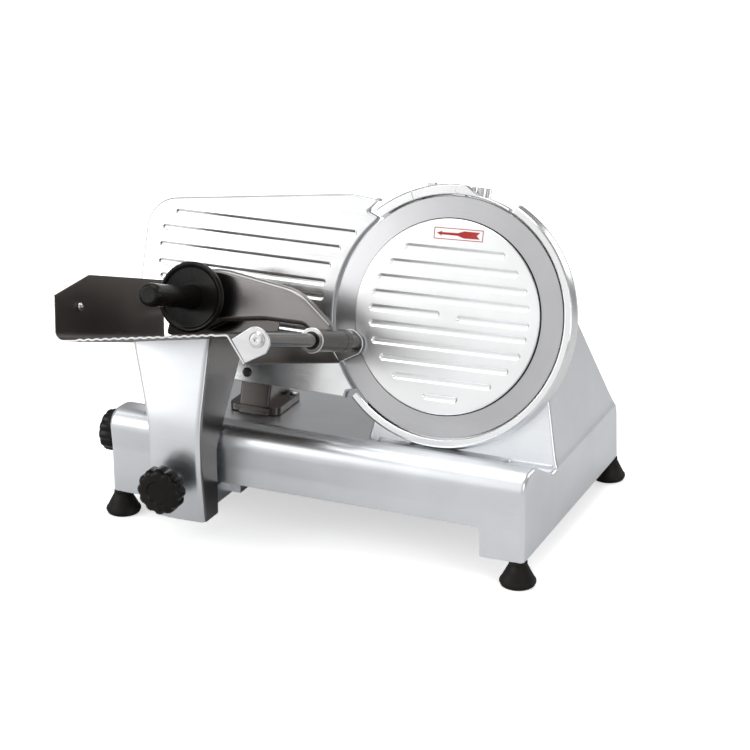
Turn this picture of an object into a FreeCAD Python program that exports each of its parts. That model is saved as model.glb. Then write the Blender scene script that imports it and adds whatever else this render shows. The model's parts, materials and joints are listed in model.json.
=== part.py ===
import FreeCAD, Part
import math
import os
import Sketcher
from FreeCAD import Placement, Rotation, Vector

# Countertop meat slicer with a tilted 250 mm blade.
#
# Two frames are used, both in millimetres:
#   world  - origin on the table under the middle of the whole object, +X along
#            the carriage travel, +Y from the operator to the back, +Z up
#   blade  - origin at the blade's centre on its cutting plane, +X as in the
#            world, +Y up in the plane of the blade, +Z along the blade's axis
#            toward the operator (called depth below)

doc = FreeCAD.newDocument("meat_slicer")
sheet = doc.addObject("Spreadsheet::Sheet", "Sizes")

DRIVING_SIZES = [
    # where the world origin is, from the point on the table under the blade
    ("origin_x", -106.9),
    ("origin_y", -27.05),
    # blade plane
    ("blade_tilt", 18.0),
    ("blade_height", 224.7),
    ("blade_radius", 125.0),
    ("cover_radius", 101.2),
    ("groove_width", 7.4),
    ("groove_depth", 2.0),
    # base
    ("base_left", -329.4),
    ("base_length", 464.7),
    ("base_front", -130.3),
    ("base_rear", 180.0),
    ("foot_height", 25.7),
    ("foot_radius", 19.0),
    ("wall", 4.0),
    ("deck_height", 90.0),
    ("ridge_height", 117.0),
    ("ridge_overhang", 4.5),
    ("notch_left", -272.0),
    ("notch_right", 88.5),
    ("notch_top", 56.8),
    ("tower_top", 262.0),
    ("tower_front_depth", -11.5),
    # drive
    ("axle_radius", 10.0),
    ("bearing_radius", 21.0),
    ("hub_radius", 28.0),
    ("pulley_radius", 36.0),
    ("motor_pulley_radius", 13.0),
    ("motor_x", 20.0),
    ("motor_drop", -105.0),
    ("motor_radius", 47.0),
    ("motor_length", 84.0),
    ("belt_depth", -58.0),
    # gauge plate and dial
    ("plate_thickness", 8.0),
    ("stem_x", -218.6),
    ("stem_y", -87.7),
    ("stem_radius", 11.0),
    ("dial_y", -95.0),
    ("dial_height", 80.0),
    ("dial_radius", 23.0),
    # carriage
    ("tray_rise", 9.3),
    ("tray_corner_x", -317.5),
    ("tray_corner_y", -67.7),
    ("tray_width", 189.3),
    ("tray_wall_height", 68.0),
    ("tray_back_depth", 8.0),
    ("tray_front_depth", 235.0),
    ("sheet_thickness", 2.0),
    ("rod_x", -98.4),
    ("rod_y", -38.1),
    ("rod_radius", 7.0),
    ("arm_right", -197.3),
    ("slide_rod_y", -76.0),
    ("slide_rod_height", 52.0),
    ("slide_rod_radius", 8.0),
    ("guide_rail_y", -20.0),
    ("arm_knob_x", -229.0),
    ("arm_knob_height", 71.0),
    ("arm_knob_radius", 25.0),
    # pusher
    ("handle_x", -247.0),
    ("handle_y", -12.5),
    ("grip_radius", 12.0),
    ("disc_radius", 37.0),
    # clearances
    ("running_fit", 0.05),
    ("free_gap", 0.3),
]

for row, (alias, value) in enumerate(DRIVING_SIZES, start=1):
    sheet.set("A%d" % row, alias)
    sheet.set("B%d" % row, str(value))
    sheet.setAlias("B%d" % row, alias)
doc.recompute()


def size(alias):
    return float(sheet.get(alias))


BASE_RIGHT = size("base_left") + size("base_length")
TILT = math.radians(size("blade_tilt"))
FIT = size("running_fit")
X_AXIS = Vector(1, 0, 0)
Y_AXIS = Vector(0, 1, 0)
Z_AXIS = Vector(0, 0, 1)
ALONG_X = Rotation(Y_AXIS, 90)
ALONG_Y = Rotation(X_AXIS, -90)
ALONG_MINUS_Y = Rotation(X_AXIS, 90)
UP_THE_BLADE = Rotation(X_AXIS, -90)


def in_world(x, y, z, turn=None):
    """Placement at a point measured from the table under the blade."""
    point = Vector(x - size("origin_x"), y - size("origin_y"), z)
    return Placement(point, turn or Rotation())


def in_blade(x, y, depth, turn=None):
    """Placement at a point of the blade's frame."""
    frame = in_world(0, 0, size("blade_height"), Rotation(X_AXIS, 90 - size("blade_tilt")))
    return frame.multiply(Placement(Vector(x, y, depth), turn or Rotation()))


def in_tray(along, up, depth, turn=None):
    """Placement in the tray's frame: along the tray floor, up its end wall, toward the operator."""
    lean = Rotation(Z_AXIS, size("tray_rise"))
    frame = in_blade(size("tray_corner_x"), size("tray_corner_y"), 0, lean)
    return frame.multiply(Placement(Vector(along, up, depth), turn or Rotation()))


def blade_point(x, y, depth):
    """World coordinates, from the table under the blade, of a point of the blade's frame."""
    world_y = y * math.sin(TILT) - depth * math.cos(TILT)
    world_z = size("blade_height") + y * math.cos(TILT) + depth * math.sin(TILT)
    return Vector(x, world_y, world_z)


# ---------------------------------------------------------------- modelling helpers

def drive(obj, prop, value):
    """Set a property from a number, or bind it to sheet cells when given an expression."""
    if isinstance(value, str):
        obj.setExpression(prop, value)
    else:
        setattr(obj, prop, value)


def new_body(label, placement):
    body = doc.addObject("PartDesign::Body", label)
    body.Label = label
    body.Placement = placement
    return body


def sketch_on(body, role, offset=0.0):
    """A sketch on one of the body's own origin planes, moved along its normal by offset."""
    sketch = body.newObject("Sketcher::SketchObject", body.Label + "_sketch")
    plane = [f for f in body.Origin.OriginFeatures if f.Role == role][0]
    sketch.AttachmentSupport = [(plane, "")]
    sketch.MapMode = "FlatFace"
    if offset:
        sketch.AttachmentOffset = Placement(Vector(0, 0, offset), Rotation())
    return sketch


def short_arc(centre, start, end):
    """The shorter arc between two points, turned anticlockwise as sketches keep arcs."""
    a, b = start - centre, end - centre
    if a.x * b.y - a.y * b.x < 0:
        a, b = b, a
    circle = Part.Circle(centre, Z_AXIS, a.Length)
    return Part.ArcOfCircle(circle, math.atan2(a.y, a.x), math.atan2(b.y, b.x))


def rounded_edges(corners):
    """Edges of a closed outline whose corners are (x, y) or (x, y, rounding radius)."""
    count = len(corners)
    starts, ends, arcs = [], [], []
    for i, corner in enumerate(corners):
        point = Vector(corner[0], corner[1], 0)
        radius = corner[2] if len(corner) > 2 else 0
        if not radius:
            starts.append(point)
            ends.append(point)
            arcs.append(None)
            continue
        before = Vector(corners[i - 1][0], corners[i - 1][1], 0) - point
        after = Vector(corners[(i + 1) % count][0], corners[(i + 1) % count][1], 0) - point
        before.normalize()
        after.normalize()
        half = before.getAngle(after) / 2
        reach = radius / math.tan(half)
        middle = before + after
        middle.normalize()
        centre = point + middle * (radius / math.sin(half))
        starts.append(point + before * reach)
        ends.append(point + after * reach)
        arcs.append(short_arc(centre, starts[-1], ends[-1]))
    edges = []
    for i in range(count):
        if arcs[i] is not None:
            edges.append(arcs[i])
        follow = (i + 1) % count
        if ends[i].distanceToPoint(starts[follow]) > 1e-6:
            edges.append(Part.LineSegment(ends[i], starts[follow]))
    return edges


def join_ends(sketch, first, count):
    """Tie the ends of a closed run of edges together with coincident constraints."""
    for i in range(count if count > 2 else 1):
        follow = (i + 1) % count
        here, there = sketch.Geometry[first + i], sketch.Geometry[first + follow]
        for p, point in ((1, here.StartPoint), (2, here.EndPoint)):
            for q, other in ((1, there.StartPoint), (2, there.EndPoint)):
                if point.distanceToPoint(other) < 1e-5:
                    sketch.addConstraint(
                        Sketcher.Constraint("Coincident", first + i, p, first + follow, q))


def draw(sketch, corners):
    """Add one closed outline, with its ends joined."""
    first = sketch.GeometryCount
    edges = rounded_edges(corners)
    for edge in edges:
        sketch.addGeometry(edge, False)
    join_ends(sketch, first, len(edges))


def draw_circle(sketch, x, y, radius):
    """Add a circle held at a point, its radius a number or an expression."""
    start = 1.0 if isinstance(radius, str) else radius
    index = sketch.addGeometry(Part.Circle(Vector(x, y, 0), Z_AXIS, start), False)
    for kind, value in (("DistanceX", x), ("DistanceY", y)):
        sketch.addConstraint(Sketcher.Constraint(kind, -1, 1, index, 3, value))
    number = sketch.addConstraint(Sketcher.Constraint("Radius", index, start))
    if isinstance(radius, str):
        sketch.setExpression("Constraints[%d]" % number, radius)


def draw_slot(sketch, x1, y1, x2, y2, radius):
    """Add a straight slot with round ends between two centres."""
    along = Vector(x2 - x1, y2 - y1, 0)
    along.normalize()
    side = Vector(-along.y, along.x, 0) * radius
    start, end = Vector(x1, y1, 0), Vector(x2, y2, 0)
    first = sketch.GeometryCount
    sketch.addGeometry(Part.LineSegment(start + side, end + side), False)
    sketch.addGeometry(half_turn(end, side, radius), False)
    sketch.addGeometry(Part.LineSegment(end - side, start - side), False)
    sketch.addGeometry(half_turn(start, side * -1, radius), False)
    join_ends(sketch, first, 4)


def half_turn(centre, side, radius):
    """Half circle that ends at the side given and starts opposite it."""
    stop = math.atan2(side.y, side.x)
    return Part.ArcOfCircle(Part.Circle(centre, Z_AXIS, radius), stop - math.pi, stop)


def pad(body, sketch, length, down=False):
    feature = body.newObject("PartDesign::Pad", body.Label + "_pad")
    feature.Profile = sketch
    drive(feature, "Length", length)
    feature.Reversed = down
    return feature


def pocket(body, sketch, length, up=False):
    feature = body.newObject("PartDesign::Pocket", body.Label + "_pocket")
    feature.Profile = sketch
    drive(feature, "Length", length)
    feature.Reversed = up
    return feature


def revolve(body, sketch, angle=360.0):
    """Turn a sketch of the XZ plane about the body's Z axis."""
    feature = body.newObject("PartDesign::Revolution", body.Label + "_turned")
    feature.Profile = sketch
    feature.ReferenceAxis = (sketch, ["V_Axis"])
    feature.Angle = angle
    return feature


def padded(label, placement, corners, length, down=False, role="XY_Plane", holes=()):
    """A piece cut to one outline and padded, with round holes (x, y, radius) right through."""
    body = new_body(label, placement)
    sketch = sketch_on(body, role)
    draw(sketch, corners)
    for x, y, radius in holes:
        draw_circle(sketch, x, y, radius)
    pad(body, sketch, length, down)
    return body


def turned(label, placement, corners, angle=360.0):
    """A piece turned about its own Z axis from (radius, depth) corners."""
    body = new_body(label, placement)
    sketch = sketch_on(body, "XZ_Plane")
    draw(sketch, corners)
    revolve(body, sketch, angle)
    return body


def rod(label, placement, radius, length):
    """A plain round bar along its placement's Z axis."""
    bar = doc.addObject("Part::Cylinder", label)
    bar.Label = label
    drive(bar, "Radius", radius)
    drive(bar, "Height", length)
    bar.Placement = placement
    return bar


def block(label, placement, length, width, height):
    box = doc.addObject("Part::Box", label)
    box.Label = label
    drive(box, "Length", length)
    drive(box, "Width", width)
    drive(box, "Height", height)
    box.Placement = placement
    return box


def fused(label, shapes):
    feature = doc.addObject("Part::MultiFuse", label)
    feature.Label = label
    feature.Shapes = shapes
    return feature


def cut(label, base, tool):
    feature = doc.addObject("Part::Cut", label)
    feature.Label = label
    feature.Base = base
    feature.Tool = tool
    return feature


def common(label, shapes):
    feature = doc.addObject("Part::MultiCommon", label)
    feature.Label = label
    feature.Shapes = shapes
    return feature


def group(label, members):
    """Identical separate solids that share one node."""
    feature = doc.addObject("Part::Compound", label)
    feature.Label = label
    feature.Links = members
    return feature


def rectangle(x1, y1, x2, y2, radius=0.0):
    return [(x1, y1, radius), (x2, y1, radius), (x2, y2, radius), (x1, y2, radius)]


def pan_screw(name, placement, thread=2.5, head=4.6, length=10.0, head_height=2.6):
    """A pan-head screw whose head stands on its placement's +Z side."""
    corners = [(0, -length), (thread, -length), (thread, 0), (head, 0),
               (head, head_height * 0.6, 0.8), (head * 0.6, head_height), (0, head_height)]
    return turned(name, placement, corners)


pieces = []


def keep(piece):
    pieces.append(piece)
    return piece


# ---------------------------------------------------------------- base

def base_profile(inset):
    """Cross-section of the base in (y, z): tall rounded ridge in front, lower deck behind."""
    front = size("base_front") + inset
    rear = size("base_rear") - inset
    low = size("foot_height") - (10 if inset else 0)
    ridge = size("ridge_height") - inset
    deck = size("deck_height") - inset
    rounding = 18.0 - inset
    return [(front, low), (front, 76.0, 30.0), (front - size("ridge_overhang"), ridge, rounding),
            (-96.0, ridge - 0.5, 30.0),
            (-46.0, deck, 20.0), (rear - 9.0, deck, 2.0), (rear, low)]


def tower_section(height, inset):
    """Plan of the leaning motor tower at a height, drawn in by inset on every side."""
    rise = height - size("deck_height")
    front_slope = math.tan(TILT)
    # y of the sloping front at deck height, from its depth behind the blade
    at_deck = (size("deck_height") - size("blade_height")) * front_slope
    at_deck -= size("tower_front_depth") / math.cos(TILT)
    front = at_deck + rise * front_slope + inset
    rear = 168.0 - 0.5 * rise - inset
    right = BASE_RIGHT - 0.268 * rise - inset
    left = -75.0 + 0.18 * rise + inset
    return rectangle(left, front, right, rear)


def base_casting():
    """Open-bottomed casting: long base with the motor tower standing on it."""
    body = new_body("casting_shell", in_world(0, 0, 0))
    wall = size("wall")
    sketch = sketch_on(body, "YZ_Plane", size("base_left"))
    draw(sketch, base_profile(0))
    pad(body, sketch, "Sizes.base_length")

    def tower(kind, inset, bottom, top):
        sections = []
        for height in (bottom, top):
            section = sketch_on(body, "XY_Plane", height)
            draw(section, tower_section(height, inset))
            sections.append(section)
        loft = body.newObject("PartDesign::" + kind, "tower_" + kind)
        loft.Profile = sections[0]
        loft.Sections = [sections[1]]
        loft.Ruled = True
        return loft

    deck = size("deck_height")
    tower("AdditiveLoft", 0, deck, size("tower_top"))
    hollow = sketch_on(body, "YZ_Plane", size("base_left") + wall)
    draw(hollow, base_profile(wall))
    pocket(body, hollow, "Sizes.base_length - 2 * Sizes.wall", up=True)
    tower("SubtractiveLoft", wall + 1.0, deck - 12.0, size("tower_top") - wall)

    # notch under the front skirt, for the carriage arm's foot
    notch = sketch_on(body, "XZ_Plane", 20.0 - size("base_front"))
    draw(notch, [(size("notch_left"), 10.0), (size("notch_right"), 10.0),
                 (size("notch_right"), size("notch_top"), 6.0),
                 (size("notch_left"), size("notch_top"), 6.0)])
    pocket(body, notch, 40.0)
    return body


def corner_bosses():
    """Four posts inside the corners of the base that take the feet's screws."""
    posts = []
    height = 40.0
    for name, x, y in foot_places():
        posts.append(rod("boss_" + name, in_world(x, y, size("foot_height")), 6.5, height))
    return posts


def foot_places():
    inset_x, inset_y = 8.0, 7.5
    left, right = size("base_left") + inset_x, BASE_RIGHT - inset_x
    front, rear = size("base_front") + inset_y, size("base_rear") - inset_y
    return [("front_left", left, front), ("front_right", right, front),
            ("rear_left", left, rear), ("rear_right", right, rear)]


PLATE_SCREW_PLACES = ((-279.0, -34.0), (105.0, -34.0), (-100.0, 2.0),
                      (-300.0, 166.0), (-100.0, 166.0), (100.0, 166.0))


def plate_bosses():
    """Posts the bottom plate is screwed to, hanging from the deck or along the rear wall."""
    posts = []
    for x, y in PLATE_SCREW_PLACES:
        radius = 9.0 if y > 100 else 6.0
        posts.append(rod("plate_boss", in_world(x, y, 29.0), radius, 58.0))
    return posts


def rod_seats():
    """Lugs hanging inside both ends that hold the slide rod and the guide rail."""
    seats = []
    for name, x in (("left", size("base_left") + 2), ("right", BASE_RIGHT - 14)):
        y = size("slide_rod_y")
        seats.append(block("rod_seat_" + name, in_world(x, y - 13, 38), 12.0, 26.0, 58.0))
        rail = size("guide_rail_y")
        seats.append(block("rail_seat_" + name, in_world(x, rail - 9, 42), 12.0, 18.0, 46.0))
    return seats


def rear_boss():
    """Round seat behind the tower for the cover knob."""
    return rod("knob_boss", in_blade(0, 0, -147), 14.0, 60.0)


GLAND_PLACE = (95.0, 176.3, 52.0)
GLAND_TURN = Rotation(X_AXIS, -82)
BUTTON_PLACES = (("start", 62.0), ("stop", 92.0))
BUTTON_HEIGHT = 58.0


def finished_base():
    whole = fused("base_with_bosses",
                  [base_casting(), rear_boss()] + corner_bosses() + plate_bosses() + rod_seats())
    left = size("base_left")
    inside = "Sizes.base_length - 2 * Sizes.wall"
    tools = [casing_screws,
             rod("dial_bore", in_world(left - 5, size("dial_y"), size("dial_height"), ALONG_X),
                 5.0 + FIT, 20.0),
             rod("hub_bore", in_blade(0, 0, -30), 36.0, 40.0),
             rod("tie_rod_bore", in_blade(0, 0, -160), 5.0, 100.0),
             rod("gland_bore", in_world(*GLAND_PLACE, GLAND_TURN).multiply(
                 Placement(Vector(0, 0, -20), Rotation())), 8.0, 40.0),
             rod("rod_bore", in_world(left + size("wall"), size("slide_rod_y"),
                                      size("slide_rod_height"), ALONG_X),
                 "Sizes.slide_rod_radius", inside),
             block("rail_slot", in_world(left + size("wall"), size("guide_rail_y") - 5, 47),
                   inside, 10.0, 10.0),
             block("deck_slot", in_world(size("stem_x") - 8, 13, 70), 16.0, 31.0, 40.0)]
    for name, y in BUTTON_PLACES:
        tools.append(rod(name + "_bore", in_world(left - 5, y, BUTTON_HEIGHT, ALONG_X), 10.0, 20.0))
    for name, x, y in foot_places():
        tools.append(rod("thread_" + name, in_world(x, y, 15), 3.0, 35.0))
    return keep(cut("base_casting", whole, fused("base_holes", tools)))


def feet():
    """Four conical rubber feet, their screws and the plate that closes the underside."""
    height, radius = size("foot_height"), size("foot_radius")
    outline = [(3.0, height), (8.0, height), (radius, 4.0, 2.0), (radius - 2.0, 0, 1.5),
               (6.5, 0), (6.5, 8.0), (3.0, 8.0)]
    screws = []
    for name, x, y in foot_places():
        keep(turned("foot_" + name, in_world(x, y, 0), outline))
        screws.append(turned("foot_screw_" + name, in_world(x, y, 0),
                             [(0, 3.5), (5.5, 3.5, 0.8), (5.5, 8.0), (3.0, 8.0), (3.0, 46.0), (0, 46.0)]))
    keep(group("foot_screws", screws))


def bottom_plate():
    left, right = size("base_left") + size("wall"), BASE_RIGHT - size("wall")
    rear, notch = 173.5, 14.0
    corners = [(left, -45.0), (right, -45.0), (right, rear - notch), (right - notch, rear - notch),
               (right - notch, rear), (left + notch, rear), (left + notch, rear - notch),
               (left, rear - notch)]
    sheet_blank = padded("bottom_sheet", in_world(0, 0, 27.5), corners, 1.5)
    keep(cut("bottom_plate", sheet_blank, casing_screws))


def guides():
    """Round slide rod and square anti-turn rail inside the base."""
    left = size("base_left") + size("wall")
    inside = "Sizes.base_length - 2 * Sizes.wall"
    keep(rod("slide_rod", in_world(left, size("slide_rod_y"), size("slide_rod_height"), ALONG_X),
             "Sizes.slide_rod_radius", inside))
    keep(block("guide_rail", in_world(left, size("guide_rail_y") - 5, 47), inside, 10.0, 10.0))


# ---------------------------------------------------------------- blade and its housing

SHARPENER_WINDOW = rectangle(-47.0, 85.0, 16.0, 121.0, 3.0)


def blade_housing():
    """Round pan behind the blade, with a rim that guards the blade's right and lower edge."""
    body = new_body("pan_back", in_blade(0, 0, -11.4))
    sketch = sketch_on(body, "XY_Plane")
    reach, chord = 137.0, -79.0
    half = math.acos(chord / reach)
    sketch.addGeometry(Part.ArcOfCircle(Part.Circle(Vector(), Z_AXIS, reach), -half, half), False)
    rise = reach * math.sin(half)
    sketch.addGeometry(Part.LineSegment(Vector(chord, rise, 0), Vector(chord, -rise, 0)), False)
    join_ends(sketch, 0, 2)
    draw_circle(sketch, 0, 0, 36.0)
    draw(sketch, SHARPENER_WINDOW)
    pad(body, sketch, 2.8)
    rim = turned("pan_rim", in_blade(0, 0, 0, Rotation(Z_AXIS, -134.2)),
                 [(126.4, 1.6, 0.6), (127.6, 3.0, 0.6), (133.4, 3.0, 0.8), (134.8, 1.6, 0.6),
                  (137.0, -8.0, 0.6), (137.0, -11.4), (130.0, -11.4), (130.0, -8.6), (128.0, -4.0)],
                 197.2)
    gap = turned("cap_space", in_blade(0, 0, 0, Rotation(Z_AXIS, 64.5)),
                 [(126.0, -13.0), (126.0, 3.5), (140.0, 3.5), (140.0, -13.0)], 70.0)
    keep(cut("blade_housing", fused("pan", [body, rim]), gap))


def slice_deflector():
    """Curved strip close behind the blade that peels each slice off."""
    body = turned("slice_deflector", in_blade(0, 0, 0, Rotation(Z_AXIS, 138)),
                  [(62.0, -8.6), (121.0, -8.6), (121.0, -7.2, 0.5), (62.0, -7.2, 0.5)], 84.0)
    keep(body)


def blade_group():
    radius = size("blade_radius")
    blade = turned("slicing_blade", in_blade(0, 0, 0),
                   [(15.0, 1.2), (radius - 8.0, 1.2), (radius, -0.2), (radius, -0.6),
                    (radius - 14.0, -3.0), (15.0, -3.0)])
    holes = sketch_on(blade, "XY_Plane", 1.2)
    for angle in range(0, 360, 90):
        turn = math.radians(angle + 45)
        draw_circle(holes, 24 * math.cos(turn), 24 * math.sin(turn), 3.0)
    pocket(blade, holes, 10.0)
    keep(blade)
    keep(turned("blade_hub", in_blade(0, 0, 0),
                [(10.4, 0.6), (15.0, 0.6), (15.0, -3.0), (34.0, -3.0), (34.0, -8.0),
                 (28.0, -8.0), (28.0, -46.0), (24.0, -46.0), (24.0, -60.0), (21.0, -60.0),
                 (21.0, -8.0), (10.4, -8.0)]))
    keep(turned("driven_pulley", in_blade(0, 0, 0),
                [(24.0, -46.0), (36.0, -46.0), (36.0, -60.0), (24.0, -60.0)]))
    screws = []
    for angle in range(0, 360, 90):
        turn = math.radians(angle + 45)
        place = in_blade(24 * math.cos(turn), 24 * math.sin(turn), 1.2)
        screws.append(turned("blade_screw_%d" % angle, place,
                             [(0, 0), (2.9, 0), (2.9, -4.2), (0, -4.2)]))
    keep(group("blade_screws", screws))


def axle_and_drive():
    """Fixed hollow axle, its bearings, the plate that carries axle and motor, and the belt."""
    axle = turned("axle_blank", in_blade(0, 0, 0),
                  [(5.0, -1.0), (10.0, -1.0), (10.0, -66.0), (24.0, -66.0), (24.0, -72.0),
                   (5.0, -72.0)])
    keep(cut("blade_axle", axle, casing_screws))
    bearings = []
    for name, depth in (("front", -20.0), ("rear", -60.0)):
        bearings.append(turned("bearing_" + name, in_blade(0, 0, depth),
                               [(10.0, 0), (21.0 - FIT, 0, 0.6), (21.0 - FIT, 12.0, 0.6), (10.0, 12.0)]))
    keep(group("hub_bearings", bearings))
    motor_x, motor_y = size("motor_x"), size("motor_drop")
    plate = padded("drive_plate_blank", in_blade(0, 0, -66), rectangle(-38, -150, 72, 30, 8), 4.0,
                   holes=((0, 0, 10.0), (motor_x, motor_y, 14.0)))
    keep(cut("drive_plate", plate, casing_screws))
    posts = []
    for x, y in STANDOFF_PLACES:
        posts.append(rod("standoff", in_blade(x, y, -62), 5.0, 45.2))
    keep(cut("drive_plate_standoffs", group("standoff_posts", posts), casing_screws))
    motor = turned("motor_blank", in_blade(motor_x, motor_y, -66),
                   [(6.3, 0), (47.0, 0, 3.0), (47.0, -20.0), (44.0, -23.0), (44.0, -61.0),
                    (47.0, -64.0), (47.0, -84.0, 6.0), (0, -84.0), (0, -8.0), (6.3, -8.0)])
    keep(cut("motor_body", motor, casing_screws))
    keep(turned("motor_shaft", in_blade(motor_x, motor_y, -44),
                [(0, 0), (6.0, 0, 0.8), (6.0, -29.5), (0, -29.5)]))
    keep(turned("motor_pulley", in_blade(motor_x, motor_y, -46),
                [(6.0, 0), (13.0, 0), (13.0, -14.0), (6.0, -14.0)]))
    drive_belt()


STANDOFF_PLACES = ((-30, -50), (60, -50), (-30, -128), (67, -130))


def belt_loop(gap):
    """Closed loop of two arcs and two straight runs around both pulleys."""
    big = size("pulley_radius") + gap
    small = size("motor_pulley_radius") + gap
    centre = Vector(size("motor_x"), size("motor_drop"), 0)
    along = Vector(centre)
    distance = along.Length
    heading = math.atan2(along.y, along.x)
    spread = math.acos((big - small) / distance)

    def on(middle, radius, angle):
        return middle + Vector(math.cos(angle), math.sin(angle), 0) * radius

    a1, a2 = heading + spread, heading - spread
    edges = [
        Part.Arc(on(Vector(), big, a1), on(Vector(), big, heading + math.pi),
                 on(Vector(), big, a2)).toShape(),
        Part.makeLine(on(Vector(), big, a2), on(centre, small, a2)),
        Part.Arc(on(centre, small, a2), on(centre, small, heading),
                 on(centre, small, a1)).toShape(),
        Part.makeLine(on(centre, small, a1), on(Vector(), big, a1))]
    return Part.Face(Part.Wire(edges))


def drive_belt():
    gap = size("free_gap")
    belt = doc.addObject("Part::Feature", "drive_belt")
    belt.Label = "drive_belt"
    belt.Shape = belt_loop(gap + 3.5).cut(belt_loop(gap)).extrude(Vector(0, 0, 10.0))
    belt.Placement = in_blade(0, 0, size("belt_depth"))
    keep(belt)


COVER_GROOVES = (
    # height, left end, right end of each pressed groove
    (68.0, -54.6, 56.4), (51.0, -69.0, 72.8), (34.0, -80.4, 84.6), (17.5, -84.4, 89.0),
    (0.5, -86.2, -6.5), (0.5, 12.1, 91.3), (-14.5, -84.2, 90.2), (-32.0, -79.0, 86.0),
    (-48.6, -67.6, 75.3), (-66.0, -51.0, 59.0), (-83.5, -14.6, 24.5))


def blade_cover():
    body = turned("blade_cover", in_blade(0, 0, 0),
                  [(0, 4.6), (101.2, 4.6, 0.6), (101.2, 1.7), (9.0, 1.7), (9.0, -0.7),
                   (4.0, -0.7), (4.0, 1.9), (0, 1.9)])
    face = sketch_on(body, "XY_Plane", 4.6)
    radius = size("groove_width") / 2
    for height, left, right in COVER_GROOVES:
        draw_slot(face, left + radius, height + 0.3, right - radius, height - 0.3, radius)
    pocket(body, face, "Sizes.groove_depth")
    keep(body)
    keep(turned("cover_knob", in_blade(0, 0, 0),
                [(0, 1.7), (3.9, 1.7), (3.9, -147.3), (17.0, -147.3, 1.5), (19.0, -155.0, 3.0),
                 (17.0, -169.0, 4.0), (0, -169.0)]))


# ---------------------------------------------------------------- sharpener

GRINDER_PLACE = (-31.0, 101.0)
HONE_PLACE = (1.0, 106.0)
CLAMP_X = 11.5
CLAMP_DEPTH = -24.0


def sharpener():
    """Cast cap over the blade's top edge with the stones' housing behind it."""
    high = turned("cap_high", in_blade(0, 0, 0, Rotation(Z_AXIS, 91)),
                  [(126.4, -24.0), (126.4, 3.0, 0.6), (135.4, 3.0, 1.2), (136.9, 1.2, 0.8),
                   (136.9, -24.0)], 41.3)
    low = turned("cap_low", in_blade(0, 0, 0, Rotation(Z_AXIS, 65.5)),
                 [(126.4, -10.0), (126.4, 3.0, 0.6), (128.6, 3.0, 0.6), (128.6, -10.0)], 27.6)
    ramp = padded("cap_ramp", in_blade(0, 0, 3.0),
                  [(-4.0, 127.5), (-4.0, 136.8), (2.6, 136.6, 5.0), (16.1, 127.6, 9.0),
                   (23.0, 126.5), (10.0, 126.3)], 13.0, down=True)
    shell = block("sharpener_shell", in_blade(-52, 82, -60), 74.0, 42.0, 48.4)
    bridge = block("sharpener_bridge", in_blade(-50, 116, -24), 40.0, 13.0, 12.4)
    cavity = block("sharpener_cavity", in_blade(-47, 78, -55), 64.0, 42.0, 60.0)
    bores = [rod("grinder_bore", in_blade(*GRINDER_PLACE, -70), 3.1, 30.0),
             rod("hone_bore", in_blade(*HONE_PLACE, -70), 3.1, 30.0),
             rod("clamp_bore", in_blade(CLAMP_X, 110, CLAMP_DEPTH, UP_THE_BLADE), 3.05, 20.0)]
    housing = cut("sharpener_housing", fused("sharpener_blank", [shell, bridge]),
                  fused("sharpener_holes", [cavity] + bores))
    keep(fused("sharpener_body", [high, low, ramp, housing]))
    for name, place in (("grinding", GRINDER_PLACE), ("honing", HONE_PLACE)):
        x, y = place
        keep(turned(name + "_button", in_blade(x, y, 0),
                    [(0, -16.0), (3.0, -16.0), (3.0, -70.9), (9.0, -70.9, 0.8), (9.0, -84.0, 3.0),
                     (0, -84.0)]))
        keep(turned(name + "_stone", in_blade(x, y, 0),
                    [(3.0 + FIT, -14.0), (13.0, -14.0, 1.0), (13.0, -22.0, 1.0), (3.0 + FIT, -22.0)]))
    keep(turned("clamp_knob", in_blade(CLAMP_X, 124.0, CLAMP_DEPTH, UP_THE_BLADE),
                [(0, -3.8), (3.0, -3.8), (3.0, 0.3), (10.5, 0.3, 0.8), (10.5, 11.5, 1.2),
                 (0, 11.5)]))


# ---------------------------------------------------------------- gauge plate and dial

GAUGE_GROOVES = ((73.5, -327.0, -111.0), (55.6, -341.0, -127.0), (36.8, -342.0, -136.0),
                 (18.3, -341.0, -140.0), (3.0, -337.0, -140.0), (-15.0, -337.0, -138.0),
                 (-33.0, -337.0, -135.0))


def gauge_plate():
    """Grooved plate the food leans on; its right edge runs round the blade."""
    body = new_body("gauge_plate", in_blade(0, 0, 0))
    sketch = sketch_on(body, "XY_Plane")
    reach = size("blade_radius") + 3.0
    top, bottom = math.radians(133.5), math.radians(224.4)
    upper = Vector(reach * math.cos(top), reach * math.sin(top), 0)
    lower = Vector(reach * math.cos(bottom), reach * math.sin(bottom), 0)
    outline = [(upper.x, upper.y), (-102.6, 98.2, 1.0), (-89.5, 112.3, 1.0), (-124.6, 114.4, 30.0),
               (-360.0, 84.9, 34.0), (-360.0, -99.0, 36.0), (-103.0, -99.0, 1.0),
               (-101.6, -91.6, 1.0), (lower.x, lower.y)]
    edges = rounded_edges(outline)
    edges[-1] = Part.ArcOfCircle(Part.Circle(Vector(), Z_AXIS, reach), top, bottom)
    for edge in edges:
        sketch.addGeometry(edge, False)
    join_ends(sketch, 0, len(edges))
    draw_circle(sketch, size("stem_x"), size("stem_y"), 3.05)
    pad(body, sketch, "Sizes.plate_thickness", down=True)
    grooves = sketch_on(body, "XY_Plane")
    radius = size("groove_width") / 2
    for height, left, right in GAUGE_GROOVES:
        draw_slot(grooves, left + radius, height, right - radius, height, radius)
    pocket(body, grooves, "Sizes.groove_depth")
    keep(body)


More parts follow.
